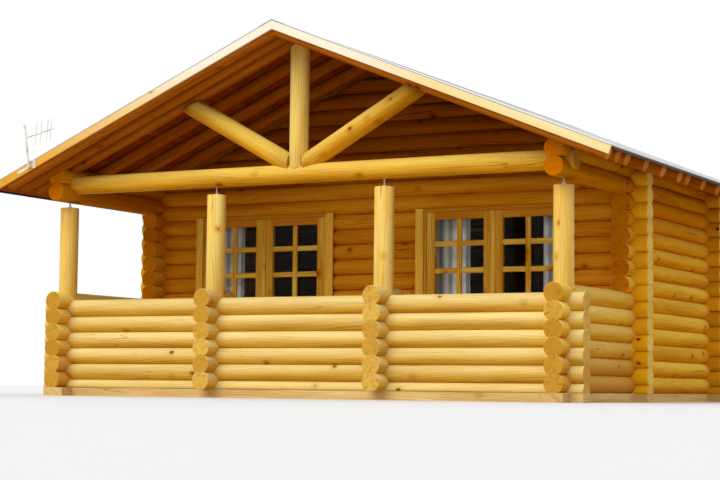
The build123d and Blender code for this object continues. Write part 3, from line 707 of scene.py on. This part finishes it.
# Veranda posts: round logs over the crowns of the rail logs. The corner posts
# are shorter, because the wall plates over them lie lower than the tie beam.
post_low, post_high = (corner.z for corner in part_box("porch_posts"))
corner_drop = 0.065
post_tops = {x: post_high - corner_drop if x in side_xs else post_high for x in post_xs}
posts = [
    log((x, y_rail, post_low), (x, y_rail, top), f"post {x}", rise=(0, 1, 0))
    for x, top in post_tops.items()
]
make_logs("porch_post_logs", "porch_posts", posts, pale_logs)

# Rafters: peeled poles stained red-brown, flattened on top for the boards. They meet plumb at the
# ridge, lie over the wall plates, and their round tails show under the eaves.
rafter_wood = round_timber_finish(
    "stained rafter poles",
    *((204, 118, 28), (150, 72, 10), (86, 34, 4), (230, 150, 66), (190, 106, 34)),
)
roof_low, roof_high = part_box("left_roof_covering")
roof_front, roof_back, eaves_run = roof_low.y, roof_high.y, -roof_low.x
pair, panel, verge_in = 0.25, y_front - y_rail, 0.096
joints = [y_front - pair / 2 + n * panel for n in range(-1, 4)]
rafter_ys = [roof_front + verge_in, joints[0] - pair / 2]
for joint in joints[:-1]:
    rafter_ys += [joint + pair / 2 + n * (panel - pair) / 3 for n in range(4)]
rafter_ys += [joints[-1] + pair / 2, roof_back - verge_in]
covering_t, roof_board_t = 0.0063, 0.0197
flat_top = rafter_axis - covering_t - roof_board_t - seam
past_ridge, tail_backs = 0.1, {"left": 0.26, "right": 0.06}
for side, hand, pitch in slopes:
    down = Vector((side * cos(pitch), 0, -sin(pitch)))
    head = Vector((0, 0, ridge_z - rafter_axis / cos(pitch)))
    tail = head + down * ((eaves_run - tail_backs[hand]) / cos(pitch))
    poles = []
    for y in rafter_ys:
        ends = (Vector((0, y, 0)) + head - down * past_ridge, Vector((0, y, 0)) + tail)
        key = f"{hand}_rafters {y:.2f}"
        poles.append(log(*ends, key, out_of_roof(side, pitch), rafter_t, high=flat_top))
    plumb = (Vector((side * seam / 2, 0, 0)), Vector((-side, 0, 0)))
    make_logs(f"{hand}_rafters_poles", f"{hand}_rafters", poles, rafter_wood, [plumb], "roof_boards")

# Eaves blocking: sawn boards between the rafters, over the side walls, stained like the rafters.
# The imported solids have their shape.
blocking_wood = sawn_timber("stained eaves blocking", (1, 2, 0), (190, 120, 50), (140, 76, 24), (76, 36, 12))
finish_node("eaves_blocking", blocking_wood)

# Boards: planed and chamfered boards side by side, on the rafters and on the floors. The tree
# sets one board at each step of a line; the piece is then put in its place.
board_rows, given = new_modifier(
    "rows of boards",
    Boards="Int",
    Step="Float",
    Width="Float",
    Thickness="Float",
    Chamfer="Float",
    Length="Float",
    Timber="Material",
)
t = board_rows
ports = {"Width": given["Width"], "Height": given["Thickness"]}
section = flow(t, "GeometryNodeCurvePrimitiveQuadrilateral", ports)
section = flow(t, "GeometryNodeFilletCurve", {"Curve": section, "Radius": given["Chamfer"]})
ports = {"Start": (0, 0, 0), "End": joined(0.0, given["Length"], 0.0)}
line = flow(t, "GeometryNodeCurvePrimitiveLine", ports)
ports = {"Curve": line, "Profile Curve": section, "Fill Caps": True}
board = flow(t, "GeometryNodeCurveToMesh", ports)
ports = {"Count": given["Boards"], "Start Location": (0, 0, 0), "Offset": joined(given["Step"], 0.0, 0.0)}
row = flow(t, "GeometryNodeMeshLine", ports)
order = flow(t, "GeometryNodeInputIndex")
row = stored(row, "tone", flow(t, "ShaderNodeTexWhiteNoise", {"W": order}, "Value", noise_dimensions="1D"))
rows = flow(t, "GeometryNodeInstanceOnPoints", {"Points": row, "Instance": board})
rows = flow(t, "GeometryNodeRealizeInstances", {"Geometry": rows})
x, y, z = parts_of(flow(t, "GeometryNodeInputPosition"))
rows = stored(rows, "grain", joined(marked(t, "tone") * 11.0 + y, x, z), "FLOAT_VECTOR")
facing = parts_of(flow(t, "GeometryNodeInputNormal"))[1]
rows = stored(rows, "end", abs(facing) > 0.8, domain="FACE")
end_tree(rows, False, given["Timber"])


def joiner_finish(name, light, dark, knot, rough, knots=0.6, gloss=0.0, spread=0.35):
    """Planed timber whose figure follows each board or bar; spread is how far their tones differ."""
    made, tree, shader = new_material(
        name, Roughness=rough, Coat_Weight=gloss, Coat_Roughness=0.25, Specular_IOR_Level=0.1, IOR=1.1
    )
    light, dark, knot = (colour(*wood) for wood in (light, dark, knot))
    along, side, up, tone, end = grain_of(tree)
    figure = figured(tree, along, up * 0.8 + side, tone * 17.0, light, dark, knot, knots, 0.2)
    surface = blend(ramp(tone, 0.0, 1.0, 0.0, spread), figure["Colour"], dark)
    surfaced(shader, blend(end * 0.6, surface, dark), figure["Height"], 0.0006)
    return made


def lay_boards(name, stands_for, slot, timber, place, count, wide, length, thick, gap):
    """A row of boards over a width along the place's X, each running along its Y."""
    step = wide / count
    sizes = {"Boards": count, "Step": step, "Width": step - gap, "Thickness": thick, "Length": length}
    empty = bpy.data.meshes.new(name)
    piece = grow(name, empty, board_rows, Chamfer=0.003, Timber=timber, **sizes)
    piece.data.transform(place @ Matrix.Translation((step / 2, 0, -thick / 2)))
    settle(piece, slot, stands_for)


roof_board_wood = joiner_finish("stained roof boards", (178, 86, 22), (124, 50, 8), (70, 26, 4), 0.6)
verge, ridge_gap, eaves_gap = 0.0253, 0.006, 0.025
for side, hand, pitch in slopes:
    name = f"{hand}_roof_boards"
    down, out = Vector((side * cos(pitch), 0, -sin(pitch))), out_of_roof(side, pitch)
    start_y = roof_front + verge if side > 0 else roof_back - verge
    place = Matrix((down, out.cross(down), out)).transposed().to_4x4()
    top = Vector((side * seam / 2, start_y, ridge_z - covering_t / cos(pitch)))
    place.translation = top + down * ridge_gap
    wide = (eaves_run - eaves_gap) / cos(pitch) - ridge_gap
    sizes = {"count": 32, "wide": wide, "length": roof_back - roof_front - 2 * verge, "gap": 0.002}
    lay_boards(f"{name}_planks", name, "roof_boards", roof_board_wood, place, thick=roof_board_t, **sizes)

deck_wood = joiner_finish("oiled floor boards", (206, 158, 92), (164, 112, 58), (92, 54, 26), 0.6)
deck_low, deck_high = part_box("porch_deck")
floor_low, floor_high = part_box("room_floors")
deck_t, beside_wall = 0.028, log_t / 2 + seam
for name, stands_for, count, gap, front, back in (
    ("porch_deck_boards", "porch_deck", 47, 0.005, deck_low.y, deck_high.y),
    ("room_floors_boards_1", "room_floors", 42, 0.0015, floor_low.y, y_cross - beside_wall),
    ("room_floors_boards_2", "room_floors", 42, 0.0015, y_cross + beside_wall, floor_high.y),
):
    low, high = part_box(stands_for)
    place = Matrix.Translation((low.x, front, high.z))
    sizes = {"count": count, "wide": high.x - low.x, "length": back - front, "gap": gap}
    lay_boards(name, stands_for, "floor_boards", deck_wood, place, thick=deck_t, **sizes)

# Bargeboards: planed boards over the rafters' outer face, pale at the right and more golden towards
# the left foot, cream at the ridge, cut square at the foot and plumb at the ridge.


def ease_edges(shape, edges, ease, segments=2):
    """Ease edges, and give back every corner of what was eased."""
    made = bmesh.ops.bevel(shape, geom=edges, offset=ease, segments=segments, profile=0.5, affect="EDGES")
    return {v for f in made["faces"] for v in f.verts}


class Pieces:
    """Eased bars and profiles gathered into one mesh, with the grain of each stored."""

    def __init__(self, name):
        self.name = name
        self.shape = bmesh.new()
        self.grain = self.shape.verts.layers.float_vector.new("grain")
        self.tone = self.shape.verts.layers.float.new("tone")
        self.end = self.shape.faces.layers.float.new("end")
        self.count = 0

    def mark(self, corners, run, tone=None):
        """Store the grain of one piece, which runs along a direction, and how deep its tone is."""
        run = Vector(run).normalized()
        wide = run.cross(Vector((0, 1, 0)) if abs(run.y) < 0.5 else Vector((0, 0, 1))).normalized()
        deep = run.cross(wide)
        self.count += 1
        seed = random.Random(f"{self.name} {self.count}").random()
        for v in corners:
            v[self.grain] = (v.co.dot(run) + seed * 11, v.co.dot(wide), v.co.dot(deep))
            v[self.tone] = seed if tone is None else tone
        for face in {f for v in corners for f in v.link_faces}:
            face.normal_update()
            face[self.end] = 1.0 if abs(face.normal.dot(run)) > 0.9 else 0.0

    def bar(self, low, high, axis, ease=0.003, segments=2, tone=None):
        """A square bar between two corners, along one axis."""
        low, high = Vector(low), Vector(high)
        size = high - low
        place = Matrix.Translation((low + high) / 2) @ Matrix.Diagonal((*size, 1))
        made = bmesh.ops.create_cube(self.shape, size=1.0, matrix=place)
        edges = list(dict.fromkeys(e for v in made["verts"] for e in v.link_edges))
        corners = ease_edges(self.shape, edges, min(ease, min(size) / 4), segments)
        self.mark(corners, [float(n == axis) for n in range(3)], tone)

    def profile(self, outline, low_y, high_y, run, ease=0.0):
        """An outline in X and Z carried from one Y to another."""
        front = [self.shape.verts.new((x, low_y, z)) for x, z in outline]
        back = [self.shape.verts.new((x, high_y, z)) for x, z in outline]
        faces = [self.shape.faces.new(front), self.shape.faces.new(back[::-1])]
        for n in range(len(front)):
            m = (n + 1) % len(front)
            faces.append(self.shape.faces.new((front[m], front[n], back[n], back[m])))
        bmesh.ops.recalc_face_normals(self.shape, faces=faces)
        corners = set(front + back)
        if ease:
            edges = list(dict.fromkeys(e for f in faces for e in f.edges))
            corners = ease_edges(self.shape, edges, ease)
        self.mark(corners, run)

    def rod(self, place, low_r, high_r, height, sides):
        """An upright rod or cone, with its middle at a place."""
        sizes = {"radius1": low_r, "radius2": high_r, "depth": height, "segments": sides}
        made = bmesh.ops.create_cone(self.shape, cap_ends=True, matrix=place, **sizes)
        self.mark(set(made["verts"]), (0, 0, 1))

    def done(self, material, slot, *stands_for):
        """Make the piece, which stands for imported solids."""
        body = bpy.data.meshes.new(self.name)
        self.shape.to_mesh(body)
        self.shape.free()
        body.materials.append(material)
        settle(new_object(self.name, body), slot, *stands_for)


def roof_z(x, depth=0.0):
    """Height of the roof's top at x, or of a plane at a depth under it."""
    pitch = slopes[0 if x < 0 else 1][2]
    return ridge_z - abs(x) * tan(pitch) - depth / cos(pitch)


barge_wood = joiner_finish(
    "pale bargeboards", (255, 240, 190), (246, 218, 146), (176, 112, 44), 0.45, 0.9, 0.2
)
shader = barge_wood.node_tree.nodes["Principled BSDF"]
plain = Flow(shader.inputs["Base Color"].links[0].from_socket)
x = parts_of(object_place(barge_wood.node_tree))[0]
plain = blend(ramp(abs(x), 1.9, 0.7, 0.0, 0.75), plain, colour(255, 246, 232))
feed(shader, {"Base Color": blend(ramp(x, -0.6, -3.2), plain, colour(240, 188, 88), "MULTIPLY")})
boards = Pieces("bargeboard_pair")
board_t, board_h = 0.025, 0.08
for y in (roof_front, roof_back - board_t):
    for side, _, pitch in slopes:
        ridge, foot = side * seam / 2, side * (eaves_run - 0.002)
        heel = foot - side * board_h * sin(pitch)
        corners = ((ridge, 0), (foot, 0), (heel, board_h), (ridge, board_h))
        outline = [(x, roof_z(x, covering_t + depth)) for x, depth in corners]
        boards.profile(outline, y, y + board_t, (side * cos(pitch), 0, -sin(pitch)), 0.003)
boards.done(barge_wood, "barge_wood", "bargeboards")

# Roof covering: mineral felt in rolls that lap down the slope and fold over the eaves, a cap along
# the ridge, and folded strips of white sheet metal round the edges, nailed along the eaves.
felt, tree, shader = new_material("mineral felt", Roughness=0.5, Coat_Weight=0.5, Coat_Roughness=0.12)
place = object_place(tree)
grit = noise(stretch(place, 420.0, 420.0, 420.0), 1.0)
stain = noise(stretch(place, 0.9, 4.5, 0.9), 5.0, 0.65)
roll_w = 0.82
rolls = calc("FRACT", abs(parts_of(place)[0]) / roll_w)
lap = ramp(rolls, 0.985, 0.995)
surface = blend(ramp(grit * 0.6 + stain * 0.6, 0.3, 0.85), colour(134, 134, 136), colour(182, 181, 179))
surface = blend(lap * 0.6, surface, colour(84, 83, 84))
surfaced(shader, surface, rolls * 1.5 + grit * 0.4, 0.003)
for name in ("left_roof_covering", "right_roof_covering", "ridge_cap"):
    finish_node(name, felt)

white_metal, tree, shader = new_material("white sheet metal", Roughness=0.35, Specular_IOR_Level=0.5)
place = object_place(tree)
dust = noise(stretch(place, 9.0, 3.0, 30.0), 3.0)
surface = blend(ramp(dust, 0.45, 0.85, 0.0, 0.5), colour(244, 245, 246), colour(196, 198, 200))
surfaced(shader, surface, noise(stretch(place, 2.0, 5.0, 2.0), 1.0), 0.004)
strips = Pieces("roof_edge_sheet_strips")
strip_w, strip_top, sheet_t, cap_half = 0.06, -0.0103, 0.0012, 0.15
eaves_ys = (roof_front + strip_w + seam, roof_back - strip_w - seam)
nails, first_nail = 26, 0.1
nail_run = roof_back - roof_front - 2 * first_nail
for side, _, pitch in slopes:
    inner, outer = side * (eaves_run - strip_w), side * (eaves_run - 0.0001)
    lip, cap = outer - side * sheet_t, side * cap_half
    corners = ((cap, -seam), (outer, -seam), (outer, strip_top), (cap, strip_top))
    outline = [(x, roof_z(x, depth)) for x, depth in corners]
    for low_y in (roof_front, roof_back - strip_w):
        strips.profile(outline, low_y, low_y + strip_w, (1, 0, 0), 0.002)
    corners = ((inner, -seam), (lip, -seam), (lip, 0.0), (outer, 0.0), (outer, strip_top), (inner, strip_top))
    strips.profile([(x, roof_z(x, depth)) for x, depth in corners], *eaves_ys, (0, 1, 0))
    tilt = Matrix.Rotation(side * pitch, 4, "Y")
    x = side * (eaves_run - strip_w / 2)
    for n in range(nails + 1):
        nail = Matrix.Translation((x, roof_front + first_nail + nail_run * n / nails, roof_z(x, -0.011)))
        strips.rod(nail @ tilt, 0.006, 0.0045, 0.002, 10)
strips.done(white_metal, "white_metal", "roof_edge_strips")

# Painted shade: the felt folded over the eaves is a real fold, but it is made far darker and browner than the
# felt on the roof, for the shade under the white strip.
dark_felt = new_material("felt round the edge, darkened as painted shade", Base_Color=colour(66, 50, 38), Roughness=0.8)[0]
folds = Pieces("felt_folded_over_eaves")
fold_top, fold_foot, fold_t = 0.0005, 0.03, 0.0042
for side in (-1, 1):
    outer = side * (eaves_run - seam)
    inner = outer - side * fold_t
    corners = ((outer, fold_top), (outer, fold_foot), (inner, fold_foot), (inner, fold_top))
    folds.profile([(x, roof_z(outer, depth)) for x, depth in corners], *eaves_ys, (0, 1, 0), 0.001)
folds.done(dark_felt, "roofing_felt")

# Windows: varnished softwood. A frame set in the logs with cover boards over its sides, and two
# sashes with glazing bars and a round bead over their joint.
joinery_wood = joiner_finish(
    "varnished joinery", (255, 218, 88), (206, 124, 6), (140, 60, 2), 0.45, 0.9, spread=0.75
)
frame_front, frame_back = (corner.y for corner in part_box("window_frames"))
frame_t = 0.042
light_low, light_high = window_low + frame_t, window_high - frame_t
frames = Pieces("window_frame_bars")
for left, right, low_z, high_z in windows:
    frames.bar((left, frame_front, low_z), (right, frame_back, light_low), 0, 0.004)
    # Painted shade: the head is given a deep tone, darker than the other bars, for the shade at the window's
    # top.
    frames.bar((left, frame_front, light_high), (right, frame_back, high_z), 0, 0.004, tone=0.9)
    for x in (left, right - frame_t):
        jamb = ((x, frame_front, light_low), (x + frame_t, frame_back, light_high))
        frames.bar(*jamb, 2, 0.004, tone=0.45)
frames.done(joinery_wood, "joinery_wood", "window_frames")

# Painted light: the cover boards are a brighter copy of the joinery's colours, for the more light they catch
# standing in front of the frames.
cover_wood = joiner_finish(
    "cover boards", (255, 224, 96), (250, 164, 26), (176, 90, 14), 0.45, 0.9, spread=0.75
)
cover_front, cover_back = (corner.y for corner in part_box("cover_boards"))
cover_w, cover_t, cover_lap = 0.095, 0.02, 0.01
covers = Pieces("cover_board_set")
for centre, half, low_z, high_z, y, tone in (
    (window_xs[0], window_half, window_low, window_high, cover_front, 0),
    (window_xs[1], window_half, window_low, window_high, cover_front, 0),
    (0.0, door_half, sill_h, door_high, cover_back - cover_t, None),
):
    for side in (-1, 1):
        inner = centre + side * (half - cover_lap)
        low_x, high_x = sorted((inner, inner + side * cover_w))
        covers.bar((low_x, y, low_z), (high_x, y + cover_t, high_z), 2, 0.005, tone=tone)
covers.done(cover_wood, "joinery_wood", "cover_boards")

sashes = Pieces("window_sash_bars")
sash_front, sash_back = frame_front + 0.012, frame_front + 0.068
rail_front, rail_back = sash_front + 0.001, sash_back - 0.001
bar_front, bar_back = sash_front + 0.004, sash_front + 0.03
outer_stile, meeting_stile, half_gap = 0.094, 0.111, 0.0004
bar_w, bead_w, bead_t = 0.058, 0.045, 0.012
low_z, high_z = light_low + 0.068, light_high - 0.082
pane_h = (high_z - low_z - 2 * bar_w) / 3
for x in window_xs:
    for side in (-1, 1):
        outside, middle = x + side * (window_half - frame_t), x + side * half_gap
        out_edge, in_edge = outside - side * outer_stile, middle + side * meeting_stile
        for a, b, tone in ((outside, out_edge, 0.3), (middle, in_edge, 0.55)):
            a, b = sorted((a, b))
            sashes.bar((a, sash_front, light_low), (b, sash_back, light_high), 2, 0.005, tone=tone)
        low_x, high_x = sorted((out_edge, in_edge))
        sashes.bar((low_x, rail_front, light_low), (high_x, rail_back, low_z), 0, 0.005)
        # Painted shade: each sash's top rail is given a deep tone, darker than the rest, for the shade at the
        # window's top.
        sashes.bar((low_x, rail_front, high_z), (high_x, rail_back, light_high), 0, 0.005, tone=0.85)
        left, right = (low_x + high_x - bar_w) / 2, (low_x + high_x + bar_w) / 2
        sashes.bar((left, bar_front, low_z), (right, bar_back, high_z), 2, 0.008, 3, 0)
        for n in (1, 2):
            z = low_z + n * pane_h + (n - 1) * bar_w
            for a, b in ((low_x, left), (right, high_x)):
                sashes.bar((a, bar_front + 0.001, z), (b, bar_back, z + bar_w), 0, 0.008, 3, 0.1)
    left, right, bead_back = x - bead_w / 2, x + bead_w / 2, sash_front - seam
    sashes.bar((left, bead_back - bead_t, light_low), (right, bead_back, light_high), 2, 0.01, 3, 0)
sashes.done(joinery_wood, "joinery_wood", "window_sashes")

# Glass: one clear sheet behind the bars of each sash. Light passes through it to the curtains
# without a shadow.
glass, tree, shader = new_material(
    "window glass", Base_Color=(0.9, 0.95, 0.96, 1), Roughness=0.02, Transmission_Weight=1.0, IOR=1.12
)
shadow = flow(tree, "ShaderNodeLightPath", output="Is Shadow Ray")
ports = {0: shadow, 1: Flow(shader.outputs[0]), 2: flow(tree, "ShaderNodeBsdfTransparent")}
feed(tree.nodes["Material Output"], {"Surface": flow(tree, "ShaderNodeMixShader", ports)})
finish_node("window_glass", glass)

# Net curtains: a gathered panel of thin grey-white net at each side of a window, on a rod inside.
# The second from the left is drawn back out of sight.
net, tree, shader = new_material("curtain net", Roughness=0.8, Sheen_Weight=0.3)
weave = flow(tree, "ShaderNodeAttribute", output="Vector", attribute_name="cloth")
across, down, turned = parts_of(weave)
threads = calc("SINE", across * 3600.0) * calc("SINE", down * 3600.0)
creases = noise(stretch(weave, 6.0, 1.2, 1.0), 2.0)
surface = blend(ramp(creases, 0.3, 0.7), colour(255, 253, 244), colour(238, 235, 226))
surfaced(shader, surface, threads, 0.0003)
# Painted shade in the folds: the net is more see-through where it swings towards the window, so the dark room
# shows through there in stripes.
close = ramp(threads, -0.6, 0.4) * 0.15 + ramp(turned, 0.1, 0.8, 0.4, 0.95)
feed(shader, {"Alpha": close})
fold_w, fold_steps, rows = 0.11, 10, 16
margin, fullness, top_deep, more_deep = 0.002, 1.7, 0.01, 0.007
for number in range(1, 5):
    low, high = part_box(f"curtain_{number}")
    drift = random.Random(number)
    width, drop = high.x - low.x, high.z - low.z
    drawn = {1: 0.39, 2: width - 0.09, 3: 0.42, 4: width}[number]
    left = low.x if number % 2 else high.x - drawn
    folds = round(drawn / fold_w)
    columns = folds * fold_steps
    phases = [drift.uniform(-0.5, 0.5) for _ in range(folds + 2)]
    deeps = [drift.uniform(0.6, 1.0) for _ in range(folds + 2)]
    points, marks, faces = [], [], []
    for r in range(rows + 1):
        down = r / rows
        for c in range(columns + 1):
            share = c / columns
            k, between = divmod(share * folds, 1)
            k = int(k)
            phase = phases[k] * (1 - between) + phases[k + 1] * between
            deep = deeps[k] * (1 - between) + deeps[k + 1] * between
            deep *= top_deep + more_deep * down
            swing = sin(2 * pi * share * folds + phase * down)
            x = left + margin + (drawn - 2 * margin) * share
            y = (low.y + high.y) / 2 + deep * swing
            points.append(Vector((x, y, high.z - drop * down)))
            marks.append(Vector((share * drawn * fullness, down * drop, 0.5 + 0.5 * swing)))
    for a in (r * (columns + 1) + c for r in range(rows) for c in range(columns)):
        faces.append((a, a + columns + 1, a + columns + 2, a + 1))
    body = bpy.data.meshes.new(f"net_curtain_{number}")
    body.from_pydata(points, [], faces)
    keep(body, "cloth", marks)
    body.polygons.foreach_set("use_smooth", [True] * len(body.polygons))
    body.materials.append(net)
    curtain = new_object(body.name, body)
    settle(curtain, "curtain_net", f"curtain_{number}")
    middle = points[8 * (columns + 1) : 9 * (columns + 1)]
    flat_w = sum((b - a).length for a, b in zip(middle, middle[1:]))

# Zinc-plated steel: the settling screws at the posts' heads, the curtain rods and the door handle.
# A screw is a threaded rod that stands on a plate, with a nut.
zinc, tree, shader = new_material("zinc plated steel", Metallic=1.0, Roughness=0.35)
bloom = noise(stretch(object_place(tree), 60.0, 60.0, 60.0), 3.0)
surface = blend(ramp(bloom, 0.35, 0.65), colour(206, 208, 210), colour(158, 162, 166))
feed(shader, {"Base Color": surface, "Roughness": ramp(bloom, 0.3, 0.7, 0.28, 0.5)})
for name in ("curtain_rods", "back_door_handle"):
    finish_node(name, zinc)
screws = Pieces("settling_screws")
screw_r, thread_r, turn = 0.009, 0.0102, 0.004
nut_r, nut_h, nut_lift = 0.0165, 0.015, 0.0005
plate = Vector((0.045, 0.045, 0.003))
for x, top in post_tops.items():
    under = (sill_h + 12.5 * course if x in side_xs else tie_z) - log_t / 2
    centre = Vector((x, y_rail, top + seam + plate.z))
    screws.bar(centre - plate, centre + plate, 2, 0.001)
    middle = Matrix.Translation((x, y_rail, (top + under) / 2))
    screws.rod(middle, screw_r, screw_r, under - top - 0.002, 16)
    for n in range(int((under - top - 0.01) / turn)):
        thread = Matrix.Translation((x, y_rail, top + (n + 2) * turn))
        screws.rod(thread, thread_r, screw_r, turn / 2, 16)
    nut = Matrix.Translation((x, y_rail, centre.z + plate.z + nut_h / 2 + nut_lift))
    screws.rod(nut, nut_r, nut_r, nut_h, 6)
screws.done(zinc, "zinc_steel", "post_screws")

# Doorways: a plain lining between the rooms, and in the back wall a framed and boarded door in a
# frame with a threshold. All are varnished like the windows.


def casing(name, stands_for, jamb, ease):
    """Head and jambs of a doorway, and the corners of its box."""
    made = Pieces(name)
    low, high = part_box(stands_for)
    made.bar((low.x, low.y, high.z - jamb), high, 0, ease)
    for x in (low.x, high.x - jamb):
        made.bar((x, low.y, low.z), (x + jamb, high.y, high.z - jamb - seam), 2, ease)
    return made, low, high


lining = casing("inner_door_lining_boards", "inner_door_lining", 0.03, 0.003)[0]
lining.done(joinery_wood, "joinery_wood", "inner_door_lining")
case, low, high = casing("back_door_frame_bars", "back_door_frame", frame_t, 0.004)
inside, threshold_h = frame_t + seam, 0.03
case.bar((low.x + inside, low.y, low.z), (high.x - inside, high.y, low.z + threshold_h), 0, 0.004)
case.done(joinery_wood, "joinery_wood", "back_door_frame")
door = Pieces("back_door_leaf")
low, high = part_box("back_door")
stile, infills = 0.11, 7
rail_in, infill_in, joint = 0.001, 0.012, 0.0005
for x in (low.x, high.x - stile):
    door.bar((x, low.y, low.z), (x + stile, high.y, high.z), 2, 0.004)
rails_z = (low.z, low.z + 0.2), (low.z + 0.86, low.z + 0.98), (high.z - 0.12, high.z)
for a, b in rails_z:
    door.bar((low.x + stile, low.y + rail_in, a), (high.x - stile, high.y - rail_in, b), 0, 0.004)
infill_w = (high.x - low.x - 2 * stile) / infills
for (_, a), (b, _) in zip(rails_z, rails_z[1:]):
    for n in range(infills):
        x = low.x + stile + n * infill_w
        door.bar((x, low.y + infill_in, a), (x + infill_w - joint, high.y - infill_in, b), 2)
door.done(joinery_wood, "joinery_wood", "back_door")

# Aerial: an off-white mast and a small aerial with upright elements, on a bar across the board.
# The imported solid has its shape.
aerial_metal, tree, shader = new_material("aerial metal", Roughness=0.4, Metallic=0.2)
dull = noise(stretch(object_place(tree), 30.0, 30.0, 12.0), 3.0)
surface = blend(ramp(dull, 0.4, 0.7), colour(240, 236, 222), colour(196, 190, 176))
feed(shader, {"Base Color": surface, "Roughness": ramp(dull, 0.3, 0.8, 0.35, 0.6)})
finish_node("aerial", aerial_metal)

# Camera at the photograph's place, found from the straight edges of the cabin. Its lens is given by
# the focal length in pixels of a picture 720 pixels wide.
yaw, tilt, roll = radians(28.4605), radians(4.6816), radians(0.6096)
right = Vector((cos(yaw), sin(yaw), 0))
ahead = Vector((-sin(yaw) * cos(tilt), cos(yaw) * cos(tilt), sin(tilt)))
upright = right.cross(ahead)
turn = Matrix((right * cos(roll) + upright * sin(roll), upright * cos(roll) - right * sin(roll), -ahead))
camera = new_object("camera", bpy.data.cameras.new("camera"))
camera.matrix_world = Matrix.Translation((9.2984, -19.2486, 0.123)) @ turn.transposed().to_4x4()
camera.data.sensor_width = 36
camera.data.lens = 1798.77 * 36 / 720
camera.data.clip_end = 200
bpy.context.scene.camera = camera

# Floor: a plain pale plane, which shows white to the camera and keeps the cabin's shadow.


def seen(tree):
    """If a ray sees a surface, straight or in gloss or glass, and not only lights by it."""
    paths = flows(node(tree, "ShaderNodeLightPath"))
    through = calc("MAXIMUM", paths["Is Glossy Ray"], paths["Is Transmission Ray"])
    return calc("MAXIMUM", paths["Is Camera Ray"], through)


pale, tree, shader = new_material("pale floor", Roughness=0.9)
feed(shader, {"Base Color": blend(seen(tree), colour(188, 182, 170), colour(236, 236, 236))})
ground = new_object("floor", bpy.data.meshes.new("floor"))
corners = [(-60, -60, 0), (60, -60, 0), (60, 60, 0), (-60, 60, 0)]
ground.data.from_pydata(corners, [], [(0, 1, 2, 3)])
ground.data.materials.append(pale)

# Light: a soft bright sky and one broad soft sun from the front left, as in the photograph.
world = bpy.data.worlds.new("sky")
bpy.context.scene.world = world
world.use_nodes = True
sky = {"Color": (1, 1, 1, 1), "Strength": ramp(seen(world.node_tree), 0.0, 1.0, 0.75, 1.0)}
feed(world.node_tree.nodes["Background"], sky)
sun = new_object("sun", bpy.data.lights.new("sun", "SUN"))
sun.data.energy = 1.6
sun.data.angle = radians(45)
sun.rotation_euler = Vector((0.2, 0.75, -0.6)).to_track_quat("-Z", "Y").to_euler()
bpy.context.scene.view_settings.view_transform = "Standard"
